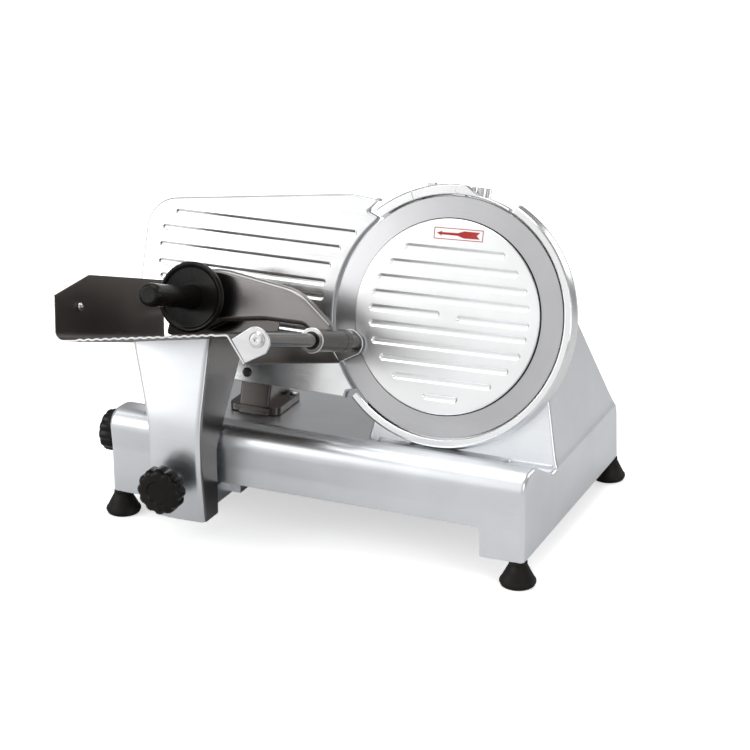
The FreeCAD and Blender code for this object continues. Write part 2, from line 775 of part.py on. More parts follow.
def gauge_support():
    """Stem behind the plate, the bracket it slides in and the arm down to the cam."""
    x, y = size("stem_x"), size("stem_y")
    keep(turned("gauge_screw", in_blade(x, y, 0),
                [(0, 2.2), (3.5, 2.2), (5.2, 1.0, 0.4), (5.2, 0), (3.0, 0), (3.0, -18.0), (0, -18.0)]))
    keep(turned("gauge_stem", in_blade(x, y, -8.0),
                [(3.0, 0), (11.0, 0), (11.0, -87.0, 1.0), (0, -87.0), (0, -10.0), (3.0, -10.0)]))
    post_y, radius = 22.0, 6.0
    slot = 15.0
    tower = block("bracket_tower", in_blade(x - 18, y - 70, -78), 36.0, 88.0, 53.0)
    foot = block("bracket_foot", in_world(x - 30, -16, 90), 60.0, 62.0, 9.0)
    clear = [rod("stem_bore", in_blade(x, y, -110), 11.0 + FIT, 120.0),
             block("below_deck", in_world(x - 40, -80, 20), 80.0, 200.0, 70.0),
             block("post_slot", in_world(x - 7, slot, 85), 14.0, 27.0, 40.0)]
    bracket = cut("bracket_bored", fused("bracket_blank", [tower, foot]),
                  fused("bracket_holes", clear))
    keep(cut("gauge_bracket", bracket, casing_screws))
    post = rod("slide_post", in_world(x, post_y, 79), radius, 38.0)
    left = -302.0
    arm = padded("slide_arm_plate", in_world(0, 0, 76),
                 [(left, -84.5), (left + 12, -84.5), (left + 12, 12.0, 8.0), (x + 10, 12.0, 3.0),
                  (x + 10, 31.0, 3.0), (left, 31.0, 8.0)], 6.0)
    pin = rod("follower_pin", in_world(left - 9, -82.0, 79, ALONG_X), 2.5, 12.0)
    stem = rod("stem_space", in_blade(x, y, -110), 11.0, 120.0)
    keep(cut("gauge_slide_arm", fused("slide_arm_blank", [post, arm, pin]), stem))


def snail_cam():
    """Cam whose radius grows steadily with the angle, so the plate follows the dial evenly."""
    least, growth, turn = 9.9, 12.4, math.radians(300)
    steps = 24
    points = []
    for i in range(steps + 1):
        share = i / steps
        angle = -turn * share
        radius = least + growth * share
        points.append(Vector(radius * math.cos(angle), radius * math.sin(angle), 0))
    curve = Part.BSplineCurve()
    curve.interpolate(points)
    wire = Part.Wire([curve.toShape(), Part.makeLine(points[-1], points[0])])
    disc = Part.Face(wire).extrude(Vector(0, 0, 6.0))
    bore = Part.makeCylinder(5.0, 6.0)
    cam = doc.addObject("Part::Feature", "gauge_cam")
    cam.Label = "gauge_cam"
    cam.Shape = disc.cut(bore)
    # cam drawn in (y, z) of the world, thickness along +X
    turn_to_side = Rotation(Y_AXIS, Z_AXIS, X_AXIS, "XYZ")
    cam.Placement = in_world(-312.0, size("dial_y"), size("dial_height"), turn_to_side)
    keep(cam)


def dial():
    """Lobed knob, shaft and cam that set the slice thickness."""
    y, z = size("dial_y"), size("dial_height")
    left = size("base_left")
    keep(turned("dial_shaft", in_world(left, y, z, ALONG_X),
                [(0, -18.0), (5.0, -18.0), (5.0, 32.0, 0.5), (0, 32.0)]))
    keep(lobed_knob("thickness_dial", in_world(left - 1, y, z, Rotation(Y_AXIS, -90)),
                    size("dial_radius"), 24.0, 5.0, 17.0))
    snail_cam()


def lobed_knob(label, placement, radius, height, bore, bore_depth, lobes=8):
    """Moulded knob with shallow finger hollows round its rim; its base is at the placement."""
    body = turned(label, placement,
                  [(bore, 0), (radius * 0.55, 0), (radius * 0.6, height * 0.2, 1.0),
                   (radius, height * 0.3, 2.0), (radius - 0.5, height - 1.0, 4.0),
                   (radius * 0.6, height, 1.5), (0, height - 1.0), (0, bore_depth), (bore, bore_depth)])
    hollows = sketch_on(body, "XY_Plane", -1.0)
    for i in range(lobes):
        angle = 2 * math.pi * i / lobes
        draw_circle(hollows, (radius + 4.6) * math.cos(angle), (radius + 4.6) * math.sin(angle), 7.0)
    pocket(body, hollows, height + 2.0, up=True)
    return body


# ---------------------------------------------------------------- carriage

def product_tray():
    """Bent sheet tray: end wall, floor that rises toward the blade, and a drop lip."""
    width, wall_height = size("tray_width"), size("tray_wall_height")
    half = size("sheet_thickness") / 2
    back, front = size("tray_back_depth"), size("tray_front_depth")
    depth = front - back
    lip_x, lip_y = 206.4, -28.4
    side_x, side_y = 0.857 * half, 0.516 * half
    body = new_body("tray_sheet", in_tray(0, 0, back))
    sketch = sketch_on(body, "XY_Plane")
    draw(sketch, [(-half, wall_height), (-half, -half, 11.0), (width - 0.6, -half, 2.0),
                  (lip_x - side_x, lip_y - side_y), (lip_x + side_x, lip_y + side_y),
                  (width + 0.6, half, 4.0), (half, half, 9.0), (half, wall_height)])
    pad(body, sketch, "Sizes.tray_front_depth - Sizes.tray_back_depth")
    corners = sketch_on(body, "YZ_Plane", -8.0)
    draw(corners, [(wall_height + 1, 165.0 - back), (wall_height, 165.0 - back), (44.0, depth),
                   (44.0, depth + 1), (wall_height + 1, depth + 1)])
    draw(corners, [(wall_height + 1, -1.0), (wall_height + 1, 26.0), (wall_height - 6, 26.0, 5.0),
                   (2.5, 20.0, 5.0), (2.5, -1.0)])
    pocket(body, corners, 16.0, up=True)
    keep(cut("product_tray", body, tray_screws))


def arm_side(inset):
    """Side view of the arm in (y, z)."""
    return [(-170.5 + inset, 27.0 - 2 * inset), (-177.0 + inset, 85.0, 60.0),
            (-177.0 + inset, 118.0, 60.0), (-141.0 + inset, 236.0 + inset),
            (-46.0 + 3 * inset, 236.0 + inset), (-141.0 + 3 * inset, 108.0, 40.0),
            (-141.0 + 3 * inset, 27.0 - 2 * inset)]


def arm_front(inset):
    """Front view of the arm in (x, z)."""
    right = size("arm_right") - inset
    return [(right, 27.0 - 2 * inset), (right, 236.0), (-302.5 + inset, 236.0),
            (-257.4 + inset, 100.0, 90.0), (-257.4 + inset, 27.0 - 2 * inset)]


def arm_blank(name, inset):
    side = padded(name + "_side", in_world(-320, 0, 0), arm_side(inset), 140.0, role="YZ_Plane")
    front = padded(name + "_front", in_world(0, -20, 0), arm_front(inset), 170.0, role="XZ_Plane")
    return common(name, [side, front])


def carriage_arm():
    """Hollow arm, open at the back, that carries the tray in front of the base."""
    above = block("above_tray", in_tray(-40, -1, -20), 300.0, 120.0, 300.0)
    knob = rod("arm_knob_bore", in_world(size("arm_knob_x"), -150, size("arm_knob_height"),
                                         ALONG_MINUS_Y), 4.0 + FIT, 60.0)
    tools = fused("arm_tools", [arm_blank("arm_inside", 5.5), above, knob, tray_screws])
    keep(cut("carriage_arm", arm_blank("arm_outside", 0.0), tools))


def carriage_slider():
    """Block on the slide rod with a neck through the notch up into the arm."""
    y, z = size("slide_rod_y"), size("slide_rod_height")
    parts = [block("slider_block", in_world(-262, y - 24, 34), 70.0, 48.0, 32.0),
             block("slider_neck", in_world(-250, -166, 32), 46.0, 70.0, 20.0),
             block("slider_upstand", in_world(-250, -166, 32), 46.0, 27.0, 60.0),
             block("slider_fork", in_world(-240, y + 20, 41), 26.0, 48.0, 22.0)]
    rail = size("guide_rail_y")
    gap = size("free_gap")
    tools = [rod("slider_bore", in_world(-270, y, z, ALONG_X), 11.0, 90.0),
             block("fork_slot", in_world(-245, rail - 5 - gap, 47 - gap), 40.0, 10 + 2 * gap, 40.0),
             rod("upstand_thread", in_world(size("arm_knob_x"), -130, size("arm_knob_height"),
                                            ALONG_MINUS_Y), 4.0 + FIT, 60.0)]
    keep(cut("carriage_slider", fused("slider_blank", parts), fused("slider_tools", tools)))
    bushes = []
    for name, x in (("left", -262.0), ("right", -212.0)):
        bushes.append(turned("slider_bush_" + name, in_world(x, y, z, ALONG_X),
                             [(8.0 + FIT, 0), (11.0, 0), (11.0, 20.0), (8.0 + FIT, 20.0)]))
    keep(group("slider_bushes", bushes))


def arm_knob():
    x, z = size("arm_knob_x"), size("arm_knob_height")
    keep(lobed_knob("carriage_knob", in_world(x, -185.0, z, ALONG_MINUS_Y),
                    size("arm_knob_radius"), 27.0, 4.0, 16.0))
    keep(turned("carriage_knob_stud", in_world(x, -185.0, z, ALONG_MINUS_Y),
                [(0, -40.0), (4.0, -40.0), (4.0, -7.6), (7.5, -7.6), (7.5, 0), (4.0, 0),
                 (4.0, 16.0), (0, 16.0)]))


LUG_OUTLINE = [(-125.2, -41.3), (-101.0, -22.5, 12.0), (-82.5, -37.0, 12.0), (-88.0, -50.0, 3.0),
               (-108.4, -61.7)]


def rod_and_lugs():
    """Rod the pusher slides and swings on, held by a lug at each end of the tray's lip."""
    x, y = size("rod_x"), size("rod_y")
    back, front = size("tray_back_depth"), size("tray_front_depth")
    lugs, bolts = [], []
    for name, depth in (("rear", back), ("front", front)):
        lugs.append(padded("rod_lug_" + name, in_blade(0, 0, depth), LUG_OUTLINE, 3.0,
                           holes=((x, y, 4.0),)))
    keep(group("rod_lugs", lugs))
    inner, outer = back + 3.0, front
    keep(turned("pusher_rod", in_blade(x, y, inner),
                [(4.0, 0), (7.0, 0, 0.5), (7.0, outer - inner, 0.5), (4.0, outer - inner),
                 (4.0, outer - inner - 14), (0, outer - inner - 14), (0, 10.0), (4.0, 10.0)]))
    bolts.append(turned("rod_bolt_front", in_blade(x, y, front + 3.0),
                        [(0, 3.2), (5.5, 3.2, 0.8), (8.0, 1.6, 0.6), (8.0, 0), (4.0, 0), (4.0, -16.5), (0, -16.5)]))
    bolts.append(turned("rod_bolt_rear", in_blade(x, y, back),
                        [(0, 0.3), (4.0, 0.3), (4.0, 12.5), (0, 12.5)]))
    keep(group("rod_bolts", bolts))


# ---------------------------------------------------------------- pusher

def pusher():
    x, y = size("rod_x"), size("rod_y")
    keep(turned("rod_bush", in_blade(x, y, 34.0),
                [(7.0 + FIT, 0), (9.0, 0), (9.0, 77.0), (7.0 + FIT, 77.0)]))
    sleeve = turned("pusher_sleeve", in_blade(x, y, 32.0),
                    [(9.0 + FIT, 0), (12.0, 0, 0.8), (12.0, 79.0), (13.0, 79.5), (13.0, 81.0, 0.8),
                     (9.0 + FIT, 81.0)])
    plate = padded("pusher_arm", in_blade(0, 0, 60.0), PUSHER_OUTLINE, 16.0)
    neck = rod("sleeve_space", in_blade(x, y, 20.0), 9.0 + FIT, 120.0)
    boss = rod("handle_boss", in_blade(size("handle_x"), size("handle_y"), 70.0), 13.0, 20.0)
    stem = rod("handle_thread", in_blade(size("handle_x"), size("handle_y"), 65.0), 4.0, 40.0)
    keep(cut("pusher_casting", fused("pusher_blank", [sleeve, plate, boss]),
             fused("pusher_holes", [neck, stem])))
    press_plate()
    handle()


PUSHER_OUTLINE = [(-284.0, 13.0, 18.0), (-225.0, 20.5, 60.0), (-137.0, 9.0, 50.0),
                  (-96.0, -22.0, 8.0), (-88.5, -38.0, 6.0), (-96.0, -49.0, 6.0), (-112.0, -40.0, 8.0),
                  (-124.0, -26.0, 12.0), (-172.0, -26.5, 40.0), (-222.0, -34.0, 10.0),
                  (-240.0, -44.0, 6.0), (-276.0, -50.0, 10.0), (-288.0, -20.0, 20.0)]


def press_plate():
    """Thin plate behind the casting with teeth that hold the food."""
    outline = [(-289.0, -57.0, 4.0), (-160.0, -36.5, 4.0), (-160.0, 2.0, 8.0), (-210.0, 12.0, 30.0),
               (-280.0, 8.0, 10.0)]
    plate = padded("press_sheet", in_blade(0, 0, 58.0), outline, 2.0)
    teeth = []
    for row in range(4):
        for column in range(8):
            tooth_x = -275.0 + 14.0 * column + 4.0 * (row % 2)
            tooth_y = -44.0 + 13.0 * row + 0.16 * (tooth_x + 275.0)
            if tooth_y > 4.0:
                continue
            tooth = doc.addObject("Part::Cone", "tooth")
            tooth.Radius1 = 2.2
            tooth.Radius2 = 0.4
            tooth.Height = 5.0
            tooth.Placement = in_blade(tooth_x, tooth_y, 58.0, Rotation(X_AXIS, 180))
            teeth.append(tooth)
    screws = []
    for screw_x, screw_y in ((-262.0, -6.0), (-178.0, -12.0)):
        screws.append(pan_screw("press_screw_%d" % -screw_x,
                                in_blade(screw_x, screw_y, 58.0, Rotation(X_AXIS, 180)),
                                head_height=1.6, length=2.0))
    screws = keep(group("press_plate_screws", screws))
    keep(cut("press_plate", fused("toothed_plate", [plate] + teeth), screws))


def handle():
    """Round hand guard and the grip in front of it."""
    x, y = size("handle_x"), size("handle_y")
    radius, grip = size("disc_radius"), size("grip_radius")
    keep(turned("guard_disc", in_blade(x, y, 90.0),
                [(4.0, 0), (radius - 4, 0, 1.0), (radius, 2.5, 1.5), (radius, 8.0, 1.5),
                 (radius - 4, 9.0, 1.0), (radius - 6, 6.0, 1.0), (grip + 2, 5.0), (4.0, 5.0)]))
    keep(turned("handle_grip", in_blade(x, y, 95.0),
                [(0, -29.0), (4.0, -29.0), (4.0, 0), (grip + 1.5, 0), (grip, 14.0, 8.0), (grip - 0.6, 70.0, 60.0),
                 (grip, 93.0, 9.0), (0, 93.0)]))


# ---------------------------------------------------------------- switches, gland and screws

def controls():
    left = size("base_left")
    face = in_world(left, 0, 0, Rotation(Y_AXIS, Z_AXIS, X_AXIS, "XYZ"))
    holes = [(y, BUTTON_HEIGHT, 10.0) for name, y in BUTTON_PLACES]
    plate = padded("switch_sheet", face, rectangle(44, 40, 110, 76, 4), 2.0, down=True, holes=holes)
    keep(cut("switch_plate", plate, casing_screws))
    for name, y in BUTTON_PLACES:
        proud = 5.0 if name == "start" else 8.0
        keep(turned(name + "_button", in_world(left, y, BUTTON_HEIGHT, Rotation(Y_AXIS, -90)),
                    [(0, -10.0), (9.5, -10.0), (9.5, 2.0 + proud, 1.5), (0, 2.0 + proud)]))
    keep(turned("cable_gland", in_world(*GLAND_PLACE, GLAND_TURN),
                [(3.5, -12.0), (8.0, -12.0), (8.0, 0), (11.0, 0), (11.0, 4.0), (8.5, 4.0),
                 (8.5, 11.0, 3.0), (3.5, 14.0)]))


def screws_of_the_tray():
    """Two screws from the tray into the arm and one through the end wall."""
    upright = Rotation(X_AXIS, -90)
    screws = [pan_screw("tray_screw_a", in_tray(70, 1, 92, upright), head_height=1.4),
              pan_screw("tray_screw_b", in_tray(100, 1, 120, upright), head_height=1.4),
              pan_screw("wall_screw", in_tray(1, 34, 188, ALONG_X), length=4.0)]
    return keep(group("tray_screws", screws))


def screws_of_the_casing():
    """Pan-head screws that hold the plates, the bracket, the axle and the motor."""
    down = Rotation(X_AXIS, 180)
    screws = []
    for x, y in PLATE_SCREW_PLACES:
        screws.append(pan_screw("plate_screw", in_world(x, y, 27.5, down), head_height=1.6))
    for x in (size("stem_x") - 25, size("stem_x") + 25):
        screws.append(pan_screw("bracket_screw", in_world(x, 36, 99), length=12.0))
    for z in (45.0, 71.0):
        screws.append(pan_screw("switch_screw", in_world(size("base_left") - 2, 77, z,
                                                         Rotation(Y_AXIS, -90)), length=5.0))
    for x, y in STANDOFF_PLACES:
        screws.append(pan_screw("standoff_screw", in_blade(x, y, -66, down), length=12.0))
    for turn in range(4):
        angle = math.radians(45 + 90 * turn)
        x = size("motor_x") + 32 * math.cos(angle)
        y = size("motor_drop") + 32 * math.sin(angle)
        screws.append(pan_screw("motor_screw", in_blade(x, y, -62), head_height=1.6))
    for turn in range(3):
        angle = math.radians(90 + 120 * turn)
        screws.append(pan_screw("axle_screw", in_blade(17 * math.cos(angle), 17 * math.sin(angle),
                                                       -72, down), head_height=1.6))
    return keep(group("casing_screws", screws))


casing_screws = screws_of_the_casing()
tray_screws = screws_of_the_tray()
finished_base()
feet()
bottom_plate()
guides()
blade_housing()
slice_deflector()
blade_group()
axle_and_drive()
blade_cover()
sharpener()
gauge_plate()
gauge_support()
dial()
product_tray()
carriage_arm()
carriage_slider()
arm_knob()
rod_and_lugs()
pusher()
controls()
doc.recompute()

for item in doc.Objects:
    if "Invalid" in item.State or "Error" in item.State:
        raise RuntimeError("%s did not compute: %s" % (item.Label, item.State))
for piece in pieces:
    if piece.Shape.isNull() or not piece.Shape.isValid():
        raise RuntimeError("%s has no valid shape" % piece.Label)

os.makedirs("parts", exist_ok=True)
for piece in pieces:
    piece.Shape.exportStep(os.path.join("parts", piece.Label + ".step"))
print(len(pieces), "pieces written")
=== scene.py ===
import json
import math

import bmesh
import bpy
from bpy.props import FloatProperty, FloatVectorProperty, IntProperty, PointerProperty
from mathutils import Matrix, Vector


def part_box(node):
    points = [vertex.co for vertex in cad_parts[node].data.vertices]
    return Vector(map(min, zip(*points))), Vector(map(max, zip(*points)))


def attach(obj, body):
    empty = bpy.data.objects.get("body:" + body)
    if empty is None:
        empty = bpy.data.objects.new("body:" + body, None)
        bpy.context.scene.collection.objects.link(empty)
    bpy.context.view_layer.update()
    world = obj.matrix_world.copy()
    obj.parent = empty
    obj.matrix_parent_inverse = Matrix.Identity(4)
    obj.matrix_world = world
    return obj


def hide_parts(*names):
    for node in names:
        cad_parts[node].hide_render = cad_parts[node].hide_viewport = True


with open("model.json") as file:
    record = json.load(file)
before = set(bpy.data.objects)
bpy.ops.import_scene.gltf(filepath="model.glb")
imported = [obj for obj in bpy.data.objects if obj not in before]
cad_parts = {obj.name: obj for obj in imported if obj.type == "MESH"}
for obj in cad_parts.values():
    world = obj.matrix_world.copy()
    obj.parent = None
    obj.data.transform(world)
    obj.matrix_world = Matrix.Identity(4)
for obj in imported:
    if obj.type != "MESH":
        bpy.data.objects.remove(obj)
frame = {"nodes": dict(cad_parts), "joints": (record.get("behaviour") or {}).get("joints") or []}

bl_info = {
    "name": "Meat Slicer",
    "version": (1, 0, 0),
    "blender": (4, 5, 0),
    "location": "View3D > Sidebar > Slicer",
    "description": "Builds the visible pieces, finishes and studio of a countertop meat slicer",
    "category": "Add Mesh",
}

# Pieces are drawn in millimetres in one of two frames and brought into the row frame:
#   TABLE  origin on the table under the blade's centre, +X along the carriage travel,
#          +Y from the operator to the back, +Z up
#   BLADE  origin at the blade's centre on its cutting plane, +X as above, +Y up in the
#          plane of the blade, +Z along the blade's axis toward the operator (depth)

MM = 0.001
JOINTS = {joint["name"]: joint for joint in frame["joints"]}
NODES = frame["nodes"]
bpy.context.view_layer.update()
BLADE_CENTRE = Vector(JOINTS["blade_spin"]["pos_m"])
BLADE_AXIS = Vector(JOINTS["blade_spin"]["axis"]).normalized()
UP_THE_BLADE = BLADE_AXIS.cross(Vector((1, 0, 0)))


def axes_at(origin, x_axis, y_axis, z_axis):
    """Frame with the three axes given as its columns, drawn in millimetres."""
    turn = Matrix((x_axis, y_axis, z_axis)).transposed().to_4x4()
    return Matrix.Translation(origin) @ turn @ Matrix.Scale(MM, 4)


TABLE = Matrix.Translation((BLADE_CENTRE.x, BLADE_CENTRE.y, 0)) @ Matrix.Scale(MM, 4)
BLADE = axes_at(BLADE_CENTRE, Vector((1, 0, 0)), UP_THE_BLADE, BLADE_AXIS)
TILT = math.asin(BLADE_AXIS.z)


def shift(x, y, z):
    return Matrix.Translation((x, y, z))


FACING_RIGHT = Matrix.Rotation(math.pi / 2, 4, "Y")
FACING_LEFT = Matrix.Rotation(-math.pi / 2, 4, "Y")
FACING_FRONT = Matrix.Rotation(math.pi / 2, 4, "X")
FACING_BACK = Matrix.Rotation(-math.pi / 2, 4, "X")
FACING_DOWN = Matrix.Rotation(math.pi, 4, "X")
# section planes: drawn X, Y become (y, z) of the table, extruded along +X
SIDE_VIEW = Matrix(((0, 0, 1, 0), (1, 0, 0, 0), (0, 1, 0, 0), (0, 0, 0, 1)))


def table_mm(node):
    """Lowest and highest corner of a node, in millimetres of the TABLE frame."""
    low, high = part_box(node)
    back = TABLE.inverted()
    return back @ low, back @ high


def middle_of(node):
    low, high = table_mm(node)
    return (low + high) / 2


# ---------------------------------------------------------------- settings

class SlicerSizes(bpy.types.PropertyGroup):
    """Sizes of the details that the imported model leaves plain."""
    groove_width: FloatProperty(
        name="Groove width", description="Width of the pressed grooves",
        default=0.0078, unit="LENGTH")
    groove_depth: FloatProperty(
        name="Groove depth", description="Depth of the pressed grooves",
        default=0.0019, unit="LENGTH")
    rib_pitch: FloatProperty(
        name="Tray rib pitch", description="Distance between the ribs of the tray floor",
        default=0.0096, unit="LENGTH")
    rib_height: FloatProperty(
        name="Tray rib height", description="Height of the ribs of the tray floor",
        default=0.0011, unit="LENGTH")
    turn_steps: IntProperty(
        name="Turning steps", description="Faces round a turned piece", default=96)


class SlicerColours(bpy.types.PropertyGroup):
    """Colours of the finishes."""
    casting: FloatVectorProperty(
        name="Casting", description="Brushed cast aluminium", subtype="COLOR", size=4,
        default=(0.80, 0.82, 0.845, 1))
    cover: FloatVectorProperty(
        name="Cover", description="Bright pressed aluminium", subtype="COLOR", size=4,
        default=(0.86, 0.865, 0.87, 1))
    steel: FloatVectorProperty(
        name="Steel", description="Stainless sheet and bar", subtype="COLOR", size=4,
        default=(0.74, 0.74, 0.75, 1))
    blade: FloatVectorProperty(
        name="Blade", description="Ground blade steel", subtype="COLOR", size=4,
        default=(0.50, 0.50, 0.51, 1))
    plastic: FloatVectorProperty(
        name="Plastic", description="Black moulded plastic", subtype="COLOR", size=4,
        default=(0.0075, 0.0065, 0.0058, 1))
    rubber: FloatVectorProperty(
        name="Rubber", description="Black rubber", subtype="COLOR", size=4,
        default=(0.0100, 0.0085, 0.0075, 1))
    mark: FloatVectorProperty(
        name="Arrow mark", description="Red of the rotation arrow", subtype="COLOR", size=4,
        default=(0.42, 0.035, 0.03, 1))


class SlicerStage(bpy.types.PropertyGroup):
    """Camera and floor."""
    camera_lens: FloatProperty(
        name="Lens", description="Focal length of the camera", default=100.87)
    camera_from_blade: FloatVectorProperty(
        name="Camera place", description="Camera from the table under the blade, in millimetres",
        default=(753.1, -1910.9, 913.0))
    camera_azimuth: FloatProperty(
        name="Azimuth", description="Turn of the camera round the object",
        default=math.radians(23.58), subtype="ANGLE")
    camera_elevation: FloatProperty(
        name="Elevation", description="Camera's dip below the horizon",
        default=math.radians(20.12), subtype="ANGLE")
    floor: FloatVectorProperty(
        name="Floor", description="Pale floor", subtype="COLOR", size=4,
        default=(0.92, 0.92, 0.92, 1))


def sizes():
    return bpy.context.scene.slicer_sizes


def colours():
    return bpy.context.scene.slicer_colours


# ---------------------------------------------------------------- modelling helpers

def draw_outline(corners):
    """A new bmesh holding one flat face whose corners are (x, y) or (x, y, rounding)."""
    bm = bmesh.new()
    verts = [bm.verts.new((corner[0], corner[1], 0)) for corner in corners]
    bm.faces.new(verts)
    count = len(corners)
    reaches = []
    for i, corner in enumerate(corners):
        if len(corner) < 3 or not corner[2]:
            continue
        here = Vector(corner[:2])
        before = Vector(corners[i - 1][:2]) - here
        after = Vector(corners[(i + 1) % count][:2]) - here
        half = before.angle(after) / 2
        reaches.append((verts[i], corner[2] / math.tan(half), math.pi - 2 * half))
    for vert, reach, turn in reaches:
        bmesh.ops.bevel(bm, geom=[vert], offset=reach, offset_type="OFFSET", profile=0.5,
                        segments=max(3, round(turn / math.radians(11))),
                        affect="VERTICES", clamp_overlap=False, material=-1)
    bmesh.ops.remove_doubles(bm, verts=bm.verts, dist=1e-3)
    return bm


def arc(radius, start, end, steps=48):
    """Points of a circular stretch of an outline about the origin, angles in degrees."""
    points = []
    for i in range(steps + 1):
        angle = math.radians(start + (end - start) * i / steps)
        points.append((radius * math.cos(angle), radius * math.sin(angle)))
    return points


def raise_face(bm, height):
    """Extrude every face along +Z."""
    grown = bmesh.ops.extrude_face_region(bm, geom=bm.faces[:])
    verts = [item for item in grown["geom"] if isinstance(item, bmesh.types.BMVert)]
    bmesh.ops.translate(bm, vec=(0, 0, height), verts=verts)
    bmesh.ops.recalc_face_normals(bm, faces=bm.faces)


def grown_edges(bm, edges):
    """Extrude edges in place, and give the new edges and vertices."""
    grown = bmesh.ops.extrude_edge_only(bm, edges=edges)["geom"]
    return ([item for item in grown if isinstance(item, bmesh.types.BMEdge)],
            [item for item in grown if isinstance(item, bmesh.types.BMVert)])


def soften(bm, width, segments=3, sharper_than=32):
    """Round the edges that turn more sharply than an angle in degrees."""
    bmesh.ops.recalc_face_normals(bm, faces=bm.faces)
    edges = [edge for edge in bm.edges
             if len(edge.link_faces) == 2 and edge.calc_face_angle() > math.radians(sharper_than)]
    bmesh.ops.bevel(bm, geom=edges, offset=width, offset_type="OFFSET", segments=segments,
                    profile=0.5, affect="EDGES", clamp_overlap=True, material=-1)


def plate(corners, thickness, rounding=0.0, segments=3):
    bm = draw_outline(corners)
    raise_face(bm, thickness)
    if rounding:
        soften(bm, rounding, segments)
    return bm


def spun(corners, angle=360.0, steps=None):
    """Turn (radius, depth) corners about Z, closed at both ends when it isn't a full turn."""
    steps = steps or sizes().turn_steps
    bm = draw_outline(corners)
    upright = Matrix.Rotation(math.pi / 2, 4, "X")
    bmesh.ops.transform(bm, matrix=upright, verts=bm.verts)
    full = abs(angle) > 359.9
    geom = bm.verts[:] + bm.edges[:] + bm.faces[:]
    if full:
        bmesh.ops.delete(bm, geom=bm.faces[:], context="FACES_ONLY")
        axis_edges = [edge for edge in bm.edges
                      if all(math.hypot(*vert.co.xy) < 1e-5 for vert in edge.verts)]
        bmesh.ops.delete(bm, geom=axis_edges, context="EDGES")
        geom = bm.verts[:] + bm.edges[:]
    bmesh.ops.spin(bm, geom=geom, cent=(0, 0, 0), axis=(0, 0, 1), steps=steps,
                   angle=math.radians(angle), use_merge=full)
    bmesh.ops.remove_doubles(bm, verts=bm.verts, dist=1e-4)
    bmesh.ops.dissolve_degenerate(bm, edges=bm.edges, dist=1e-5)
    bmesh.ops.recalc_face_normals(bm, faces=bm.faces)
    return bm


def pin(radius, low, high, steps=None):
    """Round bar along Z, solid to its axis."""
    return spun([(0, low), (radius, low), (radius, high), (0, high)], steps=steps)


def turned(bm, degrees):
    """Turn a shape about Z."""
    return placed(bm, Matrix.Rotation(math.radians(degrees), 4, "Z"))


def block(low, high, rounding=0.0, segments=3):
    """A box between two corners."""
    bm = bmesh.new()
    bmesh.ops.create_cube(bm, size=1.0)
    size = Vector(high) - Vector(low)
    middle = (Vector(high) + Vector(low)) / 2
    bmesh.ops.scale(bm, vec=size, verts=bm.verts)
    bmesh.ops.translate(bm, vec=middle, verts=bm.verts)
    if rounding:
        soften(bm, rounding, segments)
    return bm


def placed(bm, matrix):
    bmesh.ops.transform(bm, matrix=matrix, verts=bm.verts)
    if matrix.determinant() < 0:
        bmesh.ops.reverse_faces(bm, faces=bm.faces)
    return bm


def joined(*parts):
    """One bmesh out of several, which are used up."""
    whole = bmesh.new()
    for part in parts:
        mesh = bpy.data.meshes.new("joining")
        part.to_mesh(mesh)
        part.free()
        whole.from_mesh(mesh)
        bpy.data.meshes.remove(mesh)
    return whole


def new_object(name, bm):
    mesh = bpy.data.meshes.new(name)
    bm.to_mesh(mesh)
    bm.free()
    piece = bpy.data.objects.new(name, mesh)
    bpy.context.scene.collection.objects.link(piece)
    return piece


def carved(bm, *cutters):
    """Cut the cutters' solids out of bm with the exact solver."""
    target = new_object("carving", bm)
    tools = []
    for number, cutter in enumerate(cutters):
        tool = new_object("cutter_%d" % number, cutter)
        tools.append(tool)
        step = target.modifiers.new("cut_%d" % number, "BOOLEAN")
        step.operation = "DIFFERENCE"
        step.solver = "EXACT"
        step.object = tool
    bpy.context.view_layer.update()
    shape = target.evaluated_get(bpy.context.evaluated_depsgraph_get())
    result = bmesh.new()
    result.from_mesh(shape.data)
    for item in [target] + tools:
        mesh = item.data
        bpy.data.objects.remove(item)
        bpy.data.meshes.remove(mesh)
    bmesh.ops.remove_doubles(result, verts=result.verts, dist=1e-4)
    return result


def finish(name, bm, place, body, look, stands_for=(), crease=38, weighted=True, second=None):
    """Bring a drawn shape into the row frame as a piece that rides on a body.

    look is the finish of its faces, and second that of the faces with material index 1.
    """
    placed(bm, place)
    piece = new_object(name, bm)
    mesh = piece.data
    mesh.polygons.foreach_set("use_smooth", [True] * len(mesh.polygons))
    mesh.set_sharp_from_angle(angle=math.radians(crease))
    for name_of_finish in filter(None, (look, second)):
        mesh.materials.append(MATERIALS[name_of_finish])
    if weighted:
        normals = piece.modifiers.new("face_normals", "WEIGHTED_NORMAL")
        normals.keep_sharp = True
    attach(piece, body)
    if stands_for:
        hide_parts(*stands_for)
    return piece


def cast(name, bm, place, node, look="brushed_casting"):
    """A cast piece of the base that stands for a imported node."""
    finish(name, bm, place, "base", look, [node])


def dress(look, *nodes):
    """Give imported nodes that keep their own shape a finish."""
    for node in nodes:
        mesh = NODES[node].data
        if not mesh.materials:
            mesh.materials.append(None)
        for place in NODES[node].material_slots:
            place.material = MATERIALS[look]


# ---------------------------------------------------------------- shader groups

def wire(tree, start, end):
    tree.links.new(start, end)


def new_group(name, inputs, outputs):
    """Shader node group with (name, kind, default) inputs and (name, kind) outputs."""
    group = bpy.data.node_groups.new(name, "ShaderNodeTree")
    for label, kind, default in inputs:
        socket = group.interface.new_socket(name=label, in_out="INPUT", socket_type=kind)
        socket.default_value = default
    for label, kind in outputs:
        group.interface.new_socket(name=label, in_out="OUTPUT", socket_type=kind)
    return group, group.nodes.new("NodeGroupInput"), group.nodes.new("NodeGroupOutput")


